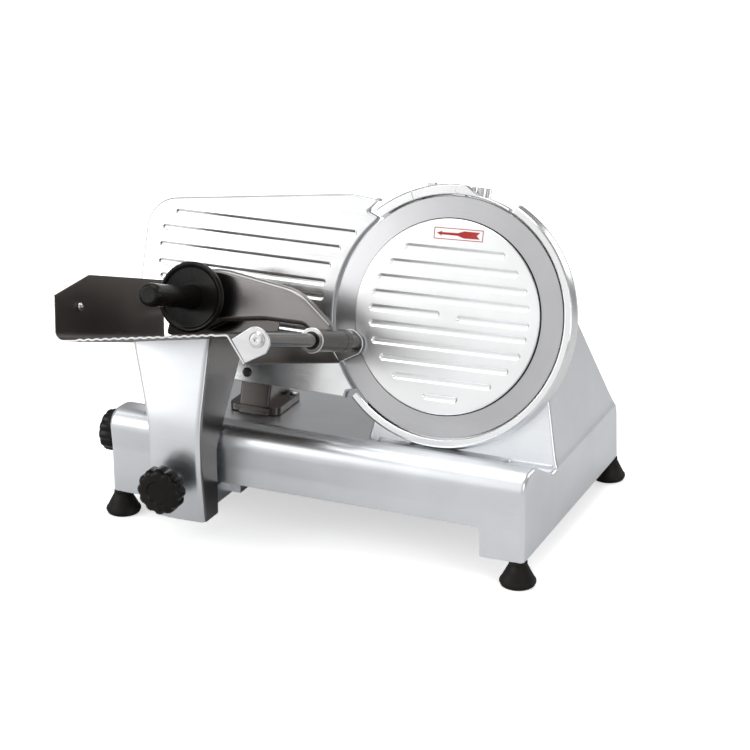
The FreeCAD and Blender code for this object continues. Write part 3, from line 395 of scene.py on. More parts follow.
def feed(tree, pairs):
    """Set or link each (input, value) pair."""
    for slot, value in pairs:
        if isinstance(value, bpy.types.NodeSocket):
            wire(tree, value, slot)
        else:
            slot.default_value = value


def maths(tree, operation, first, second=0.0):
    node = tree.nodes.new("ShaderNodeMath")
    node.operation = operation
    feed(tree, zip(node.inputs, (first, second)))
    return node.outputs[0]


def vector_maths(tree, operation, first, second=(0, 0, 0)):
    node = tree.nodes.new("ShaderNodeVectorMath")
    node.operation = operation
    feed(tree, zip(node.inputs, (first, second)))
    return node.outputs["Value" if operation == "DOT_PRODUCT" else "Vector"]


def noise(tree, vector, scale, detail=2.0, roughness=0.5):
    node = tree.nodes.new("ShaderNodeTexNoise")
    node.inputs["Scale"].default_value = scale
    node.inputs["Detail"].default_value = detail
    node.inputs["Roughness"].default_value = roughness
    wire(tree, vector, node.inputs["Vector"])
    return node.outputs["Fac"]


def spread(tree, value, low, high, to_low, to_high):
    """Map a value's useful range onto another, without going past its ends."""
    node = tree.nodes.new("ShaderNodeMapRange")
    feed(tree, zip(node.inputs, (value, low, high, to_low, to_high)))
    return node.outputs["Result"]


def blended(tree, factor, first, second, kind="MIX"):
    node = tree.nodes.new("ShaderNodeMix")
    node.data_type = "RGBA"
    node.blend_type = kind
    feed(tree, ((node.inputs[0], factor), (node.inputs[6], first), (node.inputs[7], second)))
    return node.outputs[2]


SURFACE = (("Colour", "NodeSocketColor"), ("Roughness", "NodeSocketFloat"), ("Height", "NodeSocketFloat"))
METAL = (("Colour", "NodeSocketColor", (0.8, 0.8, 0.8, 1)), ("Dark", "NodeSocketFloat", 0.12),
         ("Roughness", "NodeSocketFloat", 0.3), ("Variation", "NodeSocketFloat", 0.1))


def worn_metal(group, given, result, lines, cloud, wave):
    """Feed a metal group's outputs from its tool lines, its cloudiness and its gloss wave."""
    darker = maths(group, "MULTIPLY", spread(group, lines, 0.3, 0.7, 1.0, 0.0), given.outputs["Dark"])
    shade = maths(group, "MULTIPLY", maths(group, "SUBTRACT", 1.0, darker),
                  spread(group, cloud, 0.3, 0.7, 0.95, 1.03))
    grey = group.nodes.new("ShaderNodeCombineColor")
    for slot in grey.inputs[:3]:
        wire(group, shade, slot)
    wire(group, blended(group, 1.0, given.outputs["Colour"], grey.outputs[0], "MULTIPLY"),
         result.inputs["Colour"])
    wire(group, maths(group, "ADD", given.outputs["Roughness"],
                      maths(group, "MULTIPLY", wave, given.outputs["Variation"])),
         result.inputs["Roughness"])
    wire(group, lines, result.inputs["Height"])


def brushing_group():
    """Straight brush lines: lengthwise on front and top faces, upright on end faces."""
    group, given, result = new_group("straight_brushing", METAL + (("Fineness", "NodeSocketFloat", 1.0),),
                                     SURFACE)
    place = group.nodes.new("ShaderNodeTexCoord").outputs["Object"]
    facing = group.nodes.new("ShaderNodeNewGeometry").outputs["True Normal"]
    sideways = maths(group, "ABSOLUTE", vector_maths(group, "DOT_PRODUCT", facing, (1, 0, 0)))
    on_end = maths(group, "GREATER_THAN", sideways, 0.72)
    lengthwise = vector_maths(group, "MULTIPLY", place, (5, 260, 700))
    upright = vector_maths(group, "MULTIPLY", place, (300, 700, 5))
    choice = group.nodes.new("ShaderNodeMix")
    choice.data_type = "VECTOR"
    wire(group, on_end, choice.inputs[0])
    wire(group, lengthwise, choice.inputs[4])
    wire(group, upright, choice.inputs[5])
    scaled = group.nodes.new("ShaderNodeVectorMath")
    scaled.operation = "SCALE"
    wire(group, choice.outputs[1], scaled.inputs[0])
    wire(group, given.outputs["Fineness"], scaled.inputs["Scale"])
    lines = noise(group, scaled.outputs["Vector"], 2.2, 3.0, 0.6)
    cloud = noise(group, place, 14.0, 3.0, 0.55)
    handled = noise(group, place, 55.0, 2.0, 0.5)
    wave = maths(group, "ADD", spread(group, lines, 0.3, 0.7, -0.5, 0.5),
                 spread(group, handled, 0.35, 0.75, -0.4, 0.6))
    worn_metal(group, given, result, lines, cloud, wave)
    return group


def turning_group():
    """Fine rings about the blade's axis, as grinding and lathe work leave."""
    group, given, result = new_group("ring_brushing", METAL, SURFACE)
    place = group.nodes.new("ShaderNodeTexCoord").outputs["Object"]
    local = vector_maths(group, "SUBTRACT", place, tuple(BLADE_CENTRE))
    across = vector_maths(group, "DOT_PRODUCT", local, (1, 0, 0))
    up = vector_maths(group, "DOT_PRODUCT", local, tuple(UP_THE_BLADE))
    radius = maths(group, "SQRT", maths(group, "ADD", maths(group, "MULTIPLY", across, across),
                                        maths(group, "MULTIPLY", up, up)))
    spot = group.nodes.new("ShaderNodeCombineXYZ")
    wire(group, maths(group, "MULTIPLY", radius, 1500.0), spot.inputs[0])
    angle = maths(group, "ARCTAN2", up, across)
    wire(group, maths(group, "MULTIPLY", maths(group, "SINE", angle), 1.2), spot.inputs[1])
    wire(group, maths(group, "MULTIPLY", maths(group, "COSINE", angle), 1.2), spot.inputs[2])
    rings = noise(group, spot.outputs[0], 1.0, 3.0, 0.6)
    cloud = noise(group, place, 16.0, 3.0, 0.5)
    worn_metal(group, given, result, rings, cloud, spread(group, rings, 0.3, 0.7, -0.5, 0.5))
    return group


def moulded_group():
    """Fine moulding texture with dusty, lightly rubbed patches."""
    group, given, result = new_group(
        "moulded_surface",
        [("Colour", "NodeSocketColor", (0.02, 0.02, 0.02, 1)),
         ("Rubbed", "NodeSocketColor", (0.06, 0.06, 0.06, 1)), ("Amount", "NodeSocketFloat", 0.3),
         ("Roughness", "NodeSocketFloat", 0.35), ("Grain", "NodeSocketFloat", 900.0)], SURFACE)
    place = group.nodes.new("ShaderNodeTexCoord").outputs["Object"]
    grain = group.nodes.new("ShaderNodeTexNoise")
    wire(group, place, grain.inputs["Vector"])
    wire(group, given.outputs["Grain"], grain.inputs["Scale"])
    grain.inputs["Detail"].default_value = 2.0
    cloud = noise(group, place, 38.0, 4.0, 0.6)
    patch = maths(group, "MULTIPLY", spread(group, cloud, 0.5, 0.72, 0.0, 1.0), given.outputs["Amount"])
    wire(group, blended(group, patch, given.outputs["Colour"], given.outputs["Rubbed"]),
         result.inputs["Colour"])
    wire(group, maths(group, "ADD", given.outputs["Roughness"],
                      maths(group, "MULTIPLY", patch, 0.25)), result.inputs["Roughness"])
    wire(group, grain.outputs["Fac"], result.inputs["Height"])
    return group


GROUPS = {}
MATERIALS = {}


def group_of(name, build):
    if name not in GROUPS:
        GROUPS[name] = build()
    return GROUPS[name]


def surfaced(name, build, metallic, bump, distance, values):
    """Material whose colour, roughness and bump come from one of the groups."""
    material = bpy.data.materials.new(name)
    material.use_nodes = True
    tree = material.node_tree
    shader = tree.nodes["Principled BSDF"]
    shader.inputs["Metallic"].default_value = metallic
    if not metallic:
        shader.inputs["Specular IOR Level"].default_value = 0.16
    surface = tree.nodes.new("ShaderNodeGroup")
    surface.node_tree = group_of(build.__name__, build)
    for label, value in values:
        surface.inputs[label].default_value = value
    wire(tree, surface.outputs["Colour"], shader.inputs["Base Color"])
    wire(tree, surface.outputs["Roughness"], shader.inputs["Roughness"])
    raised = tree.nodes.new("ShaderNodeBump")
    raised.inputs["Strength"].default_value = bump
    raised.inputs["Distance"].default_value = distance
    wire(tree, surface.outputs["Height"], raised.inputs["Height"])
    wire(tree, raised.outputs["Normal"], shader.inputs["Normal"])
    MATERIALS[name] = material


def build_finishes():
    tint = colours()
    straight, rings = brushing_group, turning_group
    # name, tool marks, bump, bump distance, colour, dark, roughness, variation, fineness
    metals = (
        ("brushed_casting", straight, 0.015, 1e-4, tint.casting, 0.04, 0.33, 0.02),
        ("bright_cover", rings, 0.015, 1e-4, tint.cover, 0.03, 0.33, 0.03),
        ("bright_plate", straight, 0.04, 1e-4, tint.cover, 0.05, 0.22, 0.06, 0.7),
        ("stainless", straight, 0.06, 1e-4, tint.steel, 0.08, 0.20, 0.08),
        ("ground_blade", rings, 0.015, 1e-4, tint.blade, 0.04, 0.32, 0.02),
        ("dark_sheet", straight, 0.04, 1e-4, (0.155, 0.137, 0.125, 1), 0.04, 0.42, 0.03),
        # The next row's finish also paints shade on the carriage arm's right side.
        ("dark_casting_and_painted_shade", straight, 0.015, 1e-4, (0.27, 0.26, 0.255, 1), 0.04, 0.24, 0.02),
        ("dark_bar", straight, 0.015, 1e-4, (0.17, 0.16, 0.153, 1), 0.03, 0.16, 0.02),
        # The next row's finish also paints the shadow in the groove between blade and cover.
        ("blackened_steel_and_painted_shade", straight, 0.015, 1e-4, (0.085, 0.077, 0.072, 1), 0.04, 0.26, 0.02),
        ("machined_bar", straight, 0.04, 1e-4, (0.8, 0.8, 0.81, 1), 0.05, 0.13, 0.05),
        # The next row's finish also paints shade on the gauge plate's rim and sides.
        ("zinc_plate_and_painted_shade", straight, 0.05, 1e-4, (0.55, 0.56, 0.58, 1), 0.12, 0.38, 0.12),
        ("bronze_bush", straight, 0.05, 1e-4, (0.55, 0.36, 0.17, 1), 0.15, 0.32, 0.10))
    for name, marks, bump, distance, *values in metals:
        surfaced(name, marks, 1.0, bump, distance,
                 zip(("Colour", "Dark", "Roughness", "Variation", "Fineness"), values))
    # name, bump, bump distance, colour, rubbed colour, rubbed amount, roughness, grain
    mouldings = (
        ("black_plastic", 0.06, 2e-4, tint.plastic, (0.035, 0.035, 0.036, 1), 0.25, 0.24, 700.0),
        ("black_rubber", 0.15, 4e-4, tint.rubber, (0.06, 0.06, 0.058, 1), 0.35, 0.55, 1100.0),
        ("grey_plastic", 0.08, 2e-4, (0.16, 0.16, 0.17, 1), (0.24, 0.24, 0.25, 1), 0.3, 0.4, 900.0),
        ("green_plastic", 0.05, 2e-4, (0.01, 0.22, 0.05, 1), (0.05, 0.3, 0.1, 1), 0.25, 0.25, 900.0),
        ("red_plastic", 0.05, 2e-4, (0.5, 0.012, 0.012, 1), (0.55, 0.05, 0.04, 1), 0.25, 0.25, 900.0),
        ("motor_paint", 0.1, 3e-4, (0.04, 0.04, 0.045, 1), (0.1, 0.1, 0.1, 1), 0.3, 0.45, 600.0),
        ("stone_grit", 0.6, 8e-4, (0.22, 0.20, 0.18, 1), (0.34, 0.32, 0.30, 1), 0.8, 0.85, 1600.0),
        ("arrow_red", 0.02, 1e-4, tint.mark, (0.5, 0.1, 0.08, 1), 0.3, 0.4, 1500.0))
    for name, bump, distance, *values in mouldings:
        surfaced(name, moulded_group, 0.0, bump, distance,
                 zip(("Colour", "Rubbed", "Amount", "Roughness", "Grain"), values))


# ---------------------------------------------------------------- base

DECK = 90.0
SKIRT_ROUNDING = 5.0
BASE_FRONT = -130.3
CASTING_WALL = 4.0
STEM = (-218.6, -87.7)


def rectangle(x1, y1, x2, y2, radius=0.0):
    return [(x1, y1, radius), (x2, y1, radius), (x2, y2, radius), (x1, y2, radius)]


def base_shell():
    """Open-bottomed base: tall rounded ridge in front, low deck behind, notch under the skirt."""
    low, high = table_mm("base_casting")
    front, rear, foot = BASE_FRONT, high.y, low.z
    profile = [(front, foot), (front, 76, 60), (front - 4.5, 117, 18), (-96, 116.5, 30), (-46, DECK, 20),
               (rear - 9, DECK, 9), (rear, foot)]
    bm = draw_outline(profile)
    raise_face(bm, high.x - low.x)
    underside = [face for face in bm.faces if face.normal.y < -0.9]
    bmesh.ops.delete(bm, geom=underside, context="FACES_ONLY")
    soften(bm, SKIRT_ROUNDING, 5, sharper_than=60)
    placed(bm, shift(low.x, 0, 0) @ SIDE_VIEW)
    bmesh.ops.recalc_face_normals(bm, faces=bm.faces)
    bmesh.ops.solidify(bm, geom=bm.faces[:], thickness=CASTING_WALL)
    bmesh.ops.recalc_face_normals(bm, faces=bm.faces)
    notch = plate([(-272, 10), (88.5, 10), (88.5, 56.8, 6), (-272, 56.8, 6)], 50)
    slot = block((-226.6, 13, 70), (-210.6, 44, 110))
    bm = carved(bm, placed(notch, shift(0, -95, 0) @ FACING_FRONT), slot)
    soften(bm, 0.8, 2, sharper_than=60)
    cast("base_shell", bm, TABLE, "base_casting")


def tower_section(height):
    """Left, right, front and rear of the motor tower at a height above the table."""
    base_end = table_mm("base_casting")[1].x
    rise = height - DECK
    front = (DECK - BLADE_CENTRE.z / MM) * math.tan(TILT) + 11.5 / math.cos(TILT)
    return (-75.0 + 0.18 * rise, base_end - 0.268 * rise,
            front + rise * math.tan(TILT), 168.0 - 0.5 * rise)


def motor_tower():
    """Leaning tower for the motor; its right face runs into the end face of the base."""
    levels = [DECK - 7, DECK - 1, 91, 93, 96, 101, 110, 160, 200, 240, 258, 261.2]
    left, right, front, rear = tower_section(DECK)
    bm = draw_outline(rectangle(0, 0, 1, 1))
    bmesh.ops.scale(bm, vec=(right - left, rear - front, 1), verts=bm.verts)
    bmesh.ops.bevel(bm, geom=bm.verts[:], offset=3.5, offset_type="OFFSET", segments=5, profile=0.5,
                    affect="VERTICES", clamp_overlap=True, material=-1)
    shares = {vert: (vert.co.x / (right - left), vert.co.y / (rear - front)) for vert in bm.verts}
    bmesh.ops.delete(bm, geom=bm.faces[:], context="FACES_ONLY")
    edges = bm.edges[:]
    for number, level in enumerate(levels):
        left, right, front, rear = tower_section(max(level, DECK))
        ease = 1.6 * math.exp(-max(0.0, level - DECK) / 4.0)
        right = min(right - 1.6 + ease, table_mm("base_casting")[1].x - 0.05)
        if number:
            edges, fresh = grown_edges(bm, edges)
            moved = {}
            for vert in fresh:
                nearest = min(shares, key=lambda old: (old.co - vert.co).length_squared)
                moved[vert] = shares[nearest]
            shares = moved
        for vert, (across, along) in shares.items():
            vert.co = (left + across * (right - left), front + along * (rear - front), level)
    bmesh.ops.contextual_create(bm, geom=edges)
    soften(bm, 6.0, 4, sharper_than=50)
    cast("motor_tower", bm, TABLE, "base_casting")


def tower_foot():
    """Thin flange on the deck in front of the tower."""
    bm = plate([(-62, -40, 8), (-20, -52, 20), (69, -57, 8), (85, -33.5, 6), (130, -33.5, 3),
                (131, 0), (-62, 0)], 3.4, 1.0)
    cast("tower_flange", bm, TABLE @ shift(0, 0, DECK - 0.5), "base_casting")


def inner_posts():
    """Posts, rod seats and the knob's seat that belong to the casting."""
    low, high = table_mm("base_casting")
    parts = []
    for x in (low.x + 8, high.x - 8):
        for y in (BASE_FRONT + 7.5, high.y - 7.5):
            post = spun([(3.0, 0), (6.5, 0), (6.5, 38), (3.0, 38)], steps=24)
            parts.append(placed(post, shift(x, y, low.z)))
    for x in (low.x + 3, high.x - 14):
        parts.append(block((x, -89, 40), (x + 11, -63, 92), 2.0))
        parts.append(block((x, -29, 43), (x + 11, -11, 86), 2.0))
    bm = joined(*parts)
    cast("inner_posts", bm, TABLE, "base_casting")
    seat = spun([(5.2, -147), (12.5, -147, 1), (14, -145, 1), (14, -100), (5.2, -100)])
    cast("cover_knob_seat", seat, BLADE, "base_casting")


def gauge_bracket():
    """Block on the deck that the gauge plate's stem slides in, on a wide foot."""
    low, high = table_mm("gauge_bracket")
    x, y = STEM
    tower = block((x - 18, y - 70, -78), (x + 18, y + 18, -25), 3.0)
    stem = pin(11.05, -130, 10)
    below = block((-300, -90, 20), (-140, 140, DECK + 0.2))
    body = carved(placed(tower, TABLE.inverted() @ BLADE),
                  placed(stem, TABLE.inverted() @ BLADE @ shift(x, y, 0)), below)
    foot = plate(rectangle(low.x, -16, high.x, 46, 9), 8.8, 1.5)
    slot = block((x - 7, 15, -5), (x + 7, 42, 60))
    foot = carved(foot, slot)
    cut_body = carved(body, block((x - 7, 15, 80), (x + 7, 42, 130)))
    bm = joined(cut_body, placed(foot, shift(0, 0, DECK + 0.2)))
    finish("stem_bracket", bm, TABLE, "base",
                  "blackened_steel_and_painted_shade", ["gauge_bracket"])


FOOT_OUTLINE = [(6.5, 0), (17.0, 0, 1.5), (18.8, 4.0, 1.8), (18.2, 6.0, 0.6), (17.4, 6.6, 0.5),
                (9.4, 22.0, 3.0), (9.4, 25.6, 0.6), (3.2, 25.6), (3.2, 8), (6.5, 8)]


def feet():
    for name in ("foot_front_left", "foot_front_right", "foot_rear_left", "foot_rear_right"):
        middle = middle_of(name)
        finish("rubber_" + name, spun(FOOT_OUTLINE, steps=64), TABLE @ shift(middle.x, middle.y, 0),
               "base", "black_rubber", [name])


# ---------------------------------------------------------------- blade, rim and cover

COVER_GROOVES = (
    # height, left end, right end of each pressed groove
    (68.0, -54.6, 56.4), (51.0, -69.0, 72.8), (34.0, -80.4, 84.6), (17.5, -84.4, 89.0),
    (0.5, -86.2, -6.5), (0.5, 12.1, 91.3), (-14.5, -84.2, 90.2), (-32.0, -79.0, 86.0),
    (-48.6, -67.6, 75.3), (-66.0, -51.0, 59.0), (-83.5, -14.6, 24.5))

PLATE_THICKNESS = 8.0
RIM_INSIDE = 126.4
RIM_OUTSIDE = 136.9
BLADE_RADIUS = 125.0
STONES = {"grinding": (-31, 101), "honing": (1, 106)}
PLATE_GROOVES = ((73.5, -327.0, -111.0), (55.6, -341.0, -127.0), (36.8, -342.0, -136.0),
                 (18.3, -341.0, -140.0), (3.0, -337.0, -140.0), (-15.0, -337.0, -138.0),
                 (-33.0, -337.0, -135.0))


def slot_loop(bm, length, radius, steps=20):
    """Closed loop of edges round a slot with round ends."""
    made = bmesh.ops.create_circle(bm, cap_ends=False, segments=steps * 2, radius=radius)
    half = length / 2 - radius
    turn = Matrix.Rotation(math.pi / (2 * steps), 3, "Z")
    bmesh.ops.rotate(bm, cent=(0, 0, 0), matrix=turn, verts=made["verts"])
    for vert in made["verts"]:
        vert.co.x += math.copysign(half, vert.co.x)
    loop = set(made["verts"])
    return [edge for edge in bm.edges if loop.issuperset(edge.verts)]


def grooved_face(outline, grooves, lean=0.0):
    """A flat face with pressed grooves whose rims and floors are rounded."""
    radius = sizes().groove_width / MM / 2
    depth = sizes().groove_depth / MM
    steps = [(0.3, 0.08), (0.9, 0.36), (1.6, 0.68), (2.3, 0.90), (3.0, 0.99)]
    bm = bmesh.new()
    verts = [bm.verts.new((x, y, 0)) for x, y in outline]
    for first, second in zip(verts, verts[1:] + verts[:1]):
        bm.edges.new((first, second))
    loops = []
    for height, left, right in grooves:
        middle = Vector(((left + right) / 2, height, 0))
        edges = slot_loop(bm, right - left, radius)
        verts = list({vert for edge in edges for vert in edge.verts})
        bmesh.ops.rotate(bm, cent=(0, 0, 0), matrix=Matrix.Rotation(lean, 3, "Z"), verts=verts)
        bmesh.ops.translate(bm, vec=middle, verts=verts)
        spine = (right - left) / 2 - radius
        along = Vector((math.cos(lean), math.sin(lean), 0))
        loops.append((edges, middle - along * spine, middle + along * spine))
    bmesh.ops.triangle_fill(bm, use_beauty=True, use_dissolve=False, edges=bm.edges[:],
                            normal=(0, 0, 1))
    for edges, start, end in loops:
        for inset, sink in steps:
            edges, fresh = grown_edges(bm, edges)
            for vert in fresh:
                flat = Vector((vert.co.x, vert.co.y, 0))
                share = max(0.0, min(1.0, (flat - start).dot(end - start) / (end - start).length_squared))
                spot = start.lerp(end, share)
                away = (flat - spot).normalized() * (radius - inset)
                vert.co = spot + away + Vector((0, 0, -depth * sink))
        bmesh.ops.contextual_create(bm, geom=edges)
    return bm


def boundary_loop(bm):
    return [edge for edge in bm.edges if len(edge.link_faces) == 1]


def backed(bm, steps):
    """Grow the face's open edge down through (outward, height) steps and close the back."""
    edges = boundary_loop(bm)
    for outward, height in steps:
        directions = {}
        for edge in edges:
            a, b = edge.verts
            along = (b.co - a.co).normalized()
            side = Vector((along.y, -along.x, 0))
            face = edge.link_faces[0]
            middle = face.calc_center_median()
            if side.dot((a.co + b.co) / 2 - middle) < 0 and abs(face.normal.z) > 0.9:
                side = -side
            elif abs(face.normal.z) <= 0.9 and side.dot(face.normal) < 0:
                side = -side
            for vert in edge.verts:
                directions.setdefault(vert, []).append(side)
        places = [(vert.co.copy(), sum(sides, Vector()).normalized()) for vert, sides in directions.items()]
        edges, fresh = grown_edges(bm, edges)
        for vert in fresh:
            old, side = min(places, key=lambda entry: (entry[0] - vert.co).length_squared)
            vert.co = old + side * outward
            vert.co.z = height
        bmesh.ops.recalc_face_normals(bm, faces=bm.faces)
    bmesh.ops.contextual_create(bm, geom=edges)
    return bm


def blade_cover():
    """Pressed disc over the blade, held through the axle."""
    radius = 101.2
    outline = arc(radius - 1.6, 0, 360, 128)[:-1]
    bm = grooved_face(outline, COVER_GROOVES, lean=0.022)
    backed(bm, [(0.7, -0.12), (0.6, -0.45), (0.3, -1.1), (0.0, -2.8)])
    finish("grooved_cover", bm, BLADE @ shift(0, 0, 4.6), "base",
                  "bright_cover", ["blade_cover"])


def rotation_arrow():
    """Generic red arrow in a thin frame, printed on the cover's upper part."""
    ink = 0.08
    parts = []
    left, right, low, high = -24.0, 29.8, 79.4, 91.4
    line = 0.8
    for box_low, box_high in (((left, low), (right, low + line)), ((left, high - line), (right, high)),
                              ((left, low), (left + line, high)), ((right - line, low), (right, high))):
        parts.append(plate(rectangle(*box_low, *box_high), ink))
    middle = (low + high) / 2
    upper = [(left + 9.5, 2.9), (left + 8, 1.2), (left + 26, 1.4), (left + 33, 3.7), (right - 3.6, 3.5)]
    arrow = [(left + 3, middle)] + [(x, middle + y) for x, y in upper] + [(right - 7, middle)]
    arrow += [(x, middle - y) for x, y in reversed(upper)]
    parts.append(plate(arrow, ink))
    bm = joined(*parts)
    bmesh.ops.rotate(bm, cent=(2, middle, 0), matrix=Matrix.Rotation(math.radians(1.9), 3, "Z"),
                     verts=bm.verts)
    finish("rotation_arrow", bm, BLADE @ shift(0, 0, 4.62), "base",
                  "arrow_red", weighted=False)


def blade():
    """Hollow-ground blade: polished back, ground bevel and a thin edge."""
    bm = spun([(15, 1.1), (100.6, 1.1), (100.8, -1.2), (101.9, -1.2), (102.2, 1.1, 0.2),
               (BLADE_RADIUS - 0.8, -0.1, 0.3), (BLADE_RADIUS, -0.5, 0.1), (111, -3.0), (15, -3.0)],
              steps=160)
    # The groove faces just outside the cover get the blackened finish: painted shadow that stands for the
    # dark gap between cover and blade.
    for ring in bm.faces:
        middle = ring.calc_center_median()
        ring.material_index = int(100.65 < math.hypot(middle.x, middle.y) < 102.3 and middle.z > -1.3)
    finish("ground_blade", bm, BLADE, "blade", "ground_blade", ["slicing_blade"],
           second="blackened_steel_and_painted_shade")


def housing():
    """Rim that guards the blade's edge, and the round pan behind it."""
    profile = [(126.4, 1.6, 0.7), (127.6, 3.0, 0.7), (133.2, 3.0, 1.0), (134.9, 1.4, 0.8),
               (135.6, -2.0, 0.6), (137.0, -8.0, 0.8), (137.0, -11.4), (130.0, -11.4),
               (130.0, -8.6), (128.0, -4.0, 0.8)]
    rim = turned(spun(profile, 197.2, 150), -134.2)

    def gap():
        ring = spun([(126.0, -13.0), (126.0, 3.5), (140.0, 3.5), (140.0, -13.0)], 70.0, 48)
        return turned(ring, 64.5)
    rim = carved(rim, gap())
    half = math.degrees(math.acos(-79.0 / RIM_OUTSIDE))
    pan = plate(arc(RIM_OUTSIDE, -half, half, 120), 2.8)
    placed(pan, shift(0, 0, -11.4))
    centre = pin(36, -20, 0)
    window = placed(plate(rectangle(-47, 85, 16, 121, 3), 30), shift(0, 0, -25))
    pan = carved(pan, centre, window, gap())
    cast("guard_rim", rim, BLADE, "blade_housing", "bright_plate")
    cast("blade_pan", pan, BLADE, "blade_housing", "bright_plate")


# ---------------------------------------------------------------- sharpener

def sharpener():
    """Cap over the blade's top edge, with the grinding housing behind it."""
    high = turned(spun([(RIM_INSIDE, -24.0), (RIM_INSIDE, 3.0, 0.9), (135.3, 3.0, 1.6),
                        (RIM_OUTSIDE, 1.2, 1.0), (RIM_OUTSIDE, -24.0)], 41.3, 34), 91)
    split = turned(block((125.2, -0.7, 1.2), (138.5, 0.7, 5.0)), 114.2)
    joint = turned(block((125.2, -0.18, 2.2), (138.5, 0.18, 5.0)), 93.0)
    high = carved(high, split, joint)
    low = turned(spun([(RIM_INSIDE, -10.0), (RIM_INSIDE, 3.0, 0.8), (128.6, 3.0, 0.8), (128.6, -10.0)],
                      27.6, 24), 65.5)
    ramp = plate([(-3.0, 127.0), (-3.0, 136.8), (2.6, 136.5, 6.0), (16.1, 127.7, 14.0),
                  (24.0, 126.35), (10.0, 126.3)], 12.8, 0.6, 2)
    placed(ramp, shift(0, 0, -9.85))
    shell = block((-52, 82, -60), (22, 124, -11.6), 3.0, 4)
    cavity = block((-47, 78, -55), (17, 120, 5))
    bores = [placed(pin(3.1, 0, 30, 32), shift(x, y, -70))
             for x, y in STONES.values()]
    shell = carved(shell, cavity, *bores)
    bridge = block((-50, 117, -24), (-10, 129, -11.6), 1.5)
    bm = joined(high, low, ramp, shell, bridge)
    cast("sharpener_housing", bm, BLADE, "sharpener_body", "bright_plate")
    latch = block((-12, 124.2, -8), (2, 130.5, -2), 1.0)
    grip = block((-46, 129, -20), (-36, 136.5, -12), 1.5)
    finish("sharpener_catch", joined(latch, grip), BLADE, "base",
           "machined_bar", ["sharpener_body"])


def knurled(radius, height, count, top=0.8):
    """Round grip whose side has upright ridges."""
    bm = bmesh.new()
    bmesh.ops.create_circle(bm, cap_ends=True, segments=count * 4, radius=radius)
    for number, vert in enumerate(sorted(bm.verts, key=lambda item: math.atan2(item.co.y, item.co.x))):
        if number % 4 in (0, 1):
            vert.co *= 1.0 - 0.7 / radius
    raise_face(bm, height)
    ends = [face for face in bm.faces if abs(face.normal.z) > 0.9]
    bmesh.ops.inset_region(bm, faces=ends, thickness=top, depth=0.0, use_even_offset=True)
    for face in [face for face in bm.faces if abs(face.normal.z) > 0.9 and len(face.verts) > 8]:
        away = 0.6 if face.normal.z > 0 else -0.6
        bmesh.ops.translate(bm, vec=(0, 0, away), verts=face.verts[:])
    return bm


# ---------------------------------------------------------------- gauge plate

def gauge_plate():
    """Thick plate with pressed grooves whose right edge runs round the blade."""
    upper = arc(128.0, 133.5, 224.4, 60)
    border = draw_outline(
        [(-102.6, 98.2, 1), (-89.5, 112.3, 1), (-124.6, 114.4, 30), (-360, 84.9, 34), (-360, -99, 36),
         (-103, -99, 1), (-101.6, -91.6, 1)] + upper[::-1])
    border.faces.ensure_lookup_table()
    loop = [(vert.co.x, vert.co.y) for vert in border.faces[0].verts]
    border.free()
    turning = sum(a[0] * b[1] - b[0] * a[1] for a, b in zip(loop, loop[1:] + loop[:1]))
    if turning < 0:
        loop.reverse()
    inner = inset_loop(loop, 2.2)
    bm = grooved_face(inner, PLATE_GROOVES)
    front_faces = set(bm.faces)
    backed(bm, [(0.9, -0.2), (0.75, -0.65), (0.4, -1.3), (0.15, -2.2), (0.0, -PLATE_THICKNESS)])
    bm.normal_update()
    # The plate's rounded rim and side faces get the darker zinc finish: painted shade that outlines the
    # plate's edge.
    for edge_face in bm.faces:
        edge_face.material_index = int(edge_face not in front_faces and abs(edge_face.normal.z) < 0.985)
    finish("grooved_gauge_plate", bm, BLADE, "gauge", "bright_plate",
           ["gauge_plate"], second="zinc_plate_and_painted_shade")


def inset_loop(loop, distance):
    """Outline moved inward by a distance, its corners kept."""
    result = []
    count = len(loop)
    for i in range(count):
        before, here, after = Vector(loop[i - 1]), Vector(loop[i]), Vector(loop[(i + 1) % count])
        first, second = (here - before), (after - here)
        if first.length < 1e-6 or second.length < 1e-6:
            continue
        first.normalize()
        second.normalize()
        normal = Vector((-(first.y + second.y), first.x + second.x))
        normal.normalize()
        stretch = 1.0 / max(0.5, normal.dot(Vector((-first.y, first.x))))
        moved = here + normal * distance * stretch
        result.append((moved.x, moved.y))
    return result


def gauge_fittings():
    screw = spun([(0, 2.2), (3.4, 2.2, 0.3), (5.2, 1.0, 0.4), (5.2, 0), (3.0, 0), (3.0, -18.0), (0, -18.0)],
                 steps=48)
    socket = placed(knurled(1.9, 1.4, 6), shift(0, 0, 1.2))
    finish("plate_screw", carved(screw, socket), BLADE @ shift(*STEM, 0), "gauge",
           "blackened_steel_and_painted_shade", ["gauge_screw"])
    stem = spun([(3.0, 0), (11.0, 0), (11.0, -87.0, 1.2), (0, -87.0), (0, -10.0), (3.0, -10.0)], steps=64)
    finish("plate_stem", stem, BLADE @ shift(*STEM, -PLATE_THICKNESS), "gauge",
           "machined_bar", ["gauge_stem"])


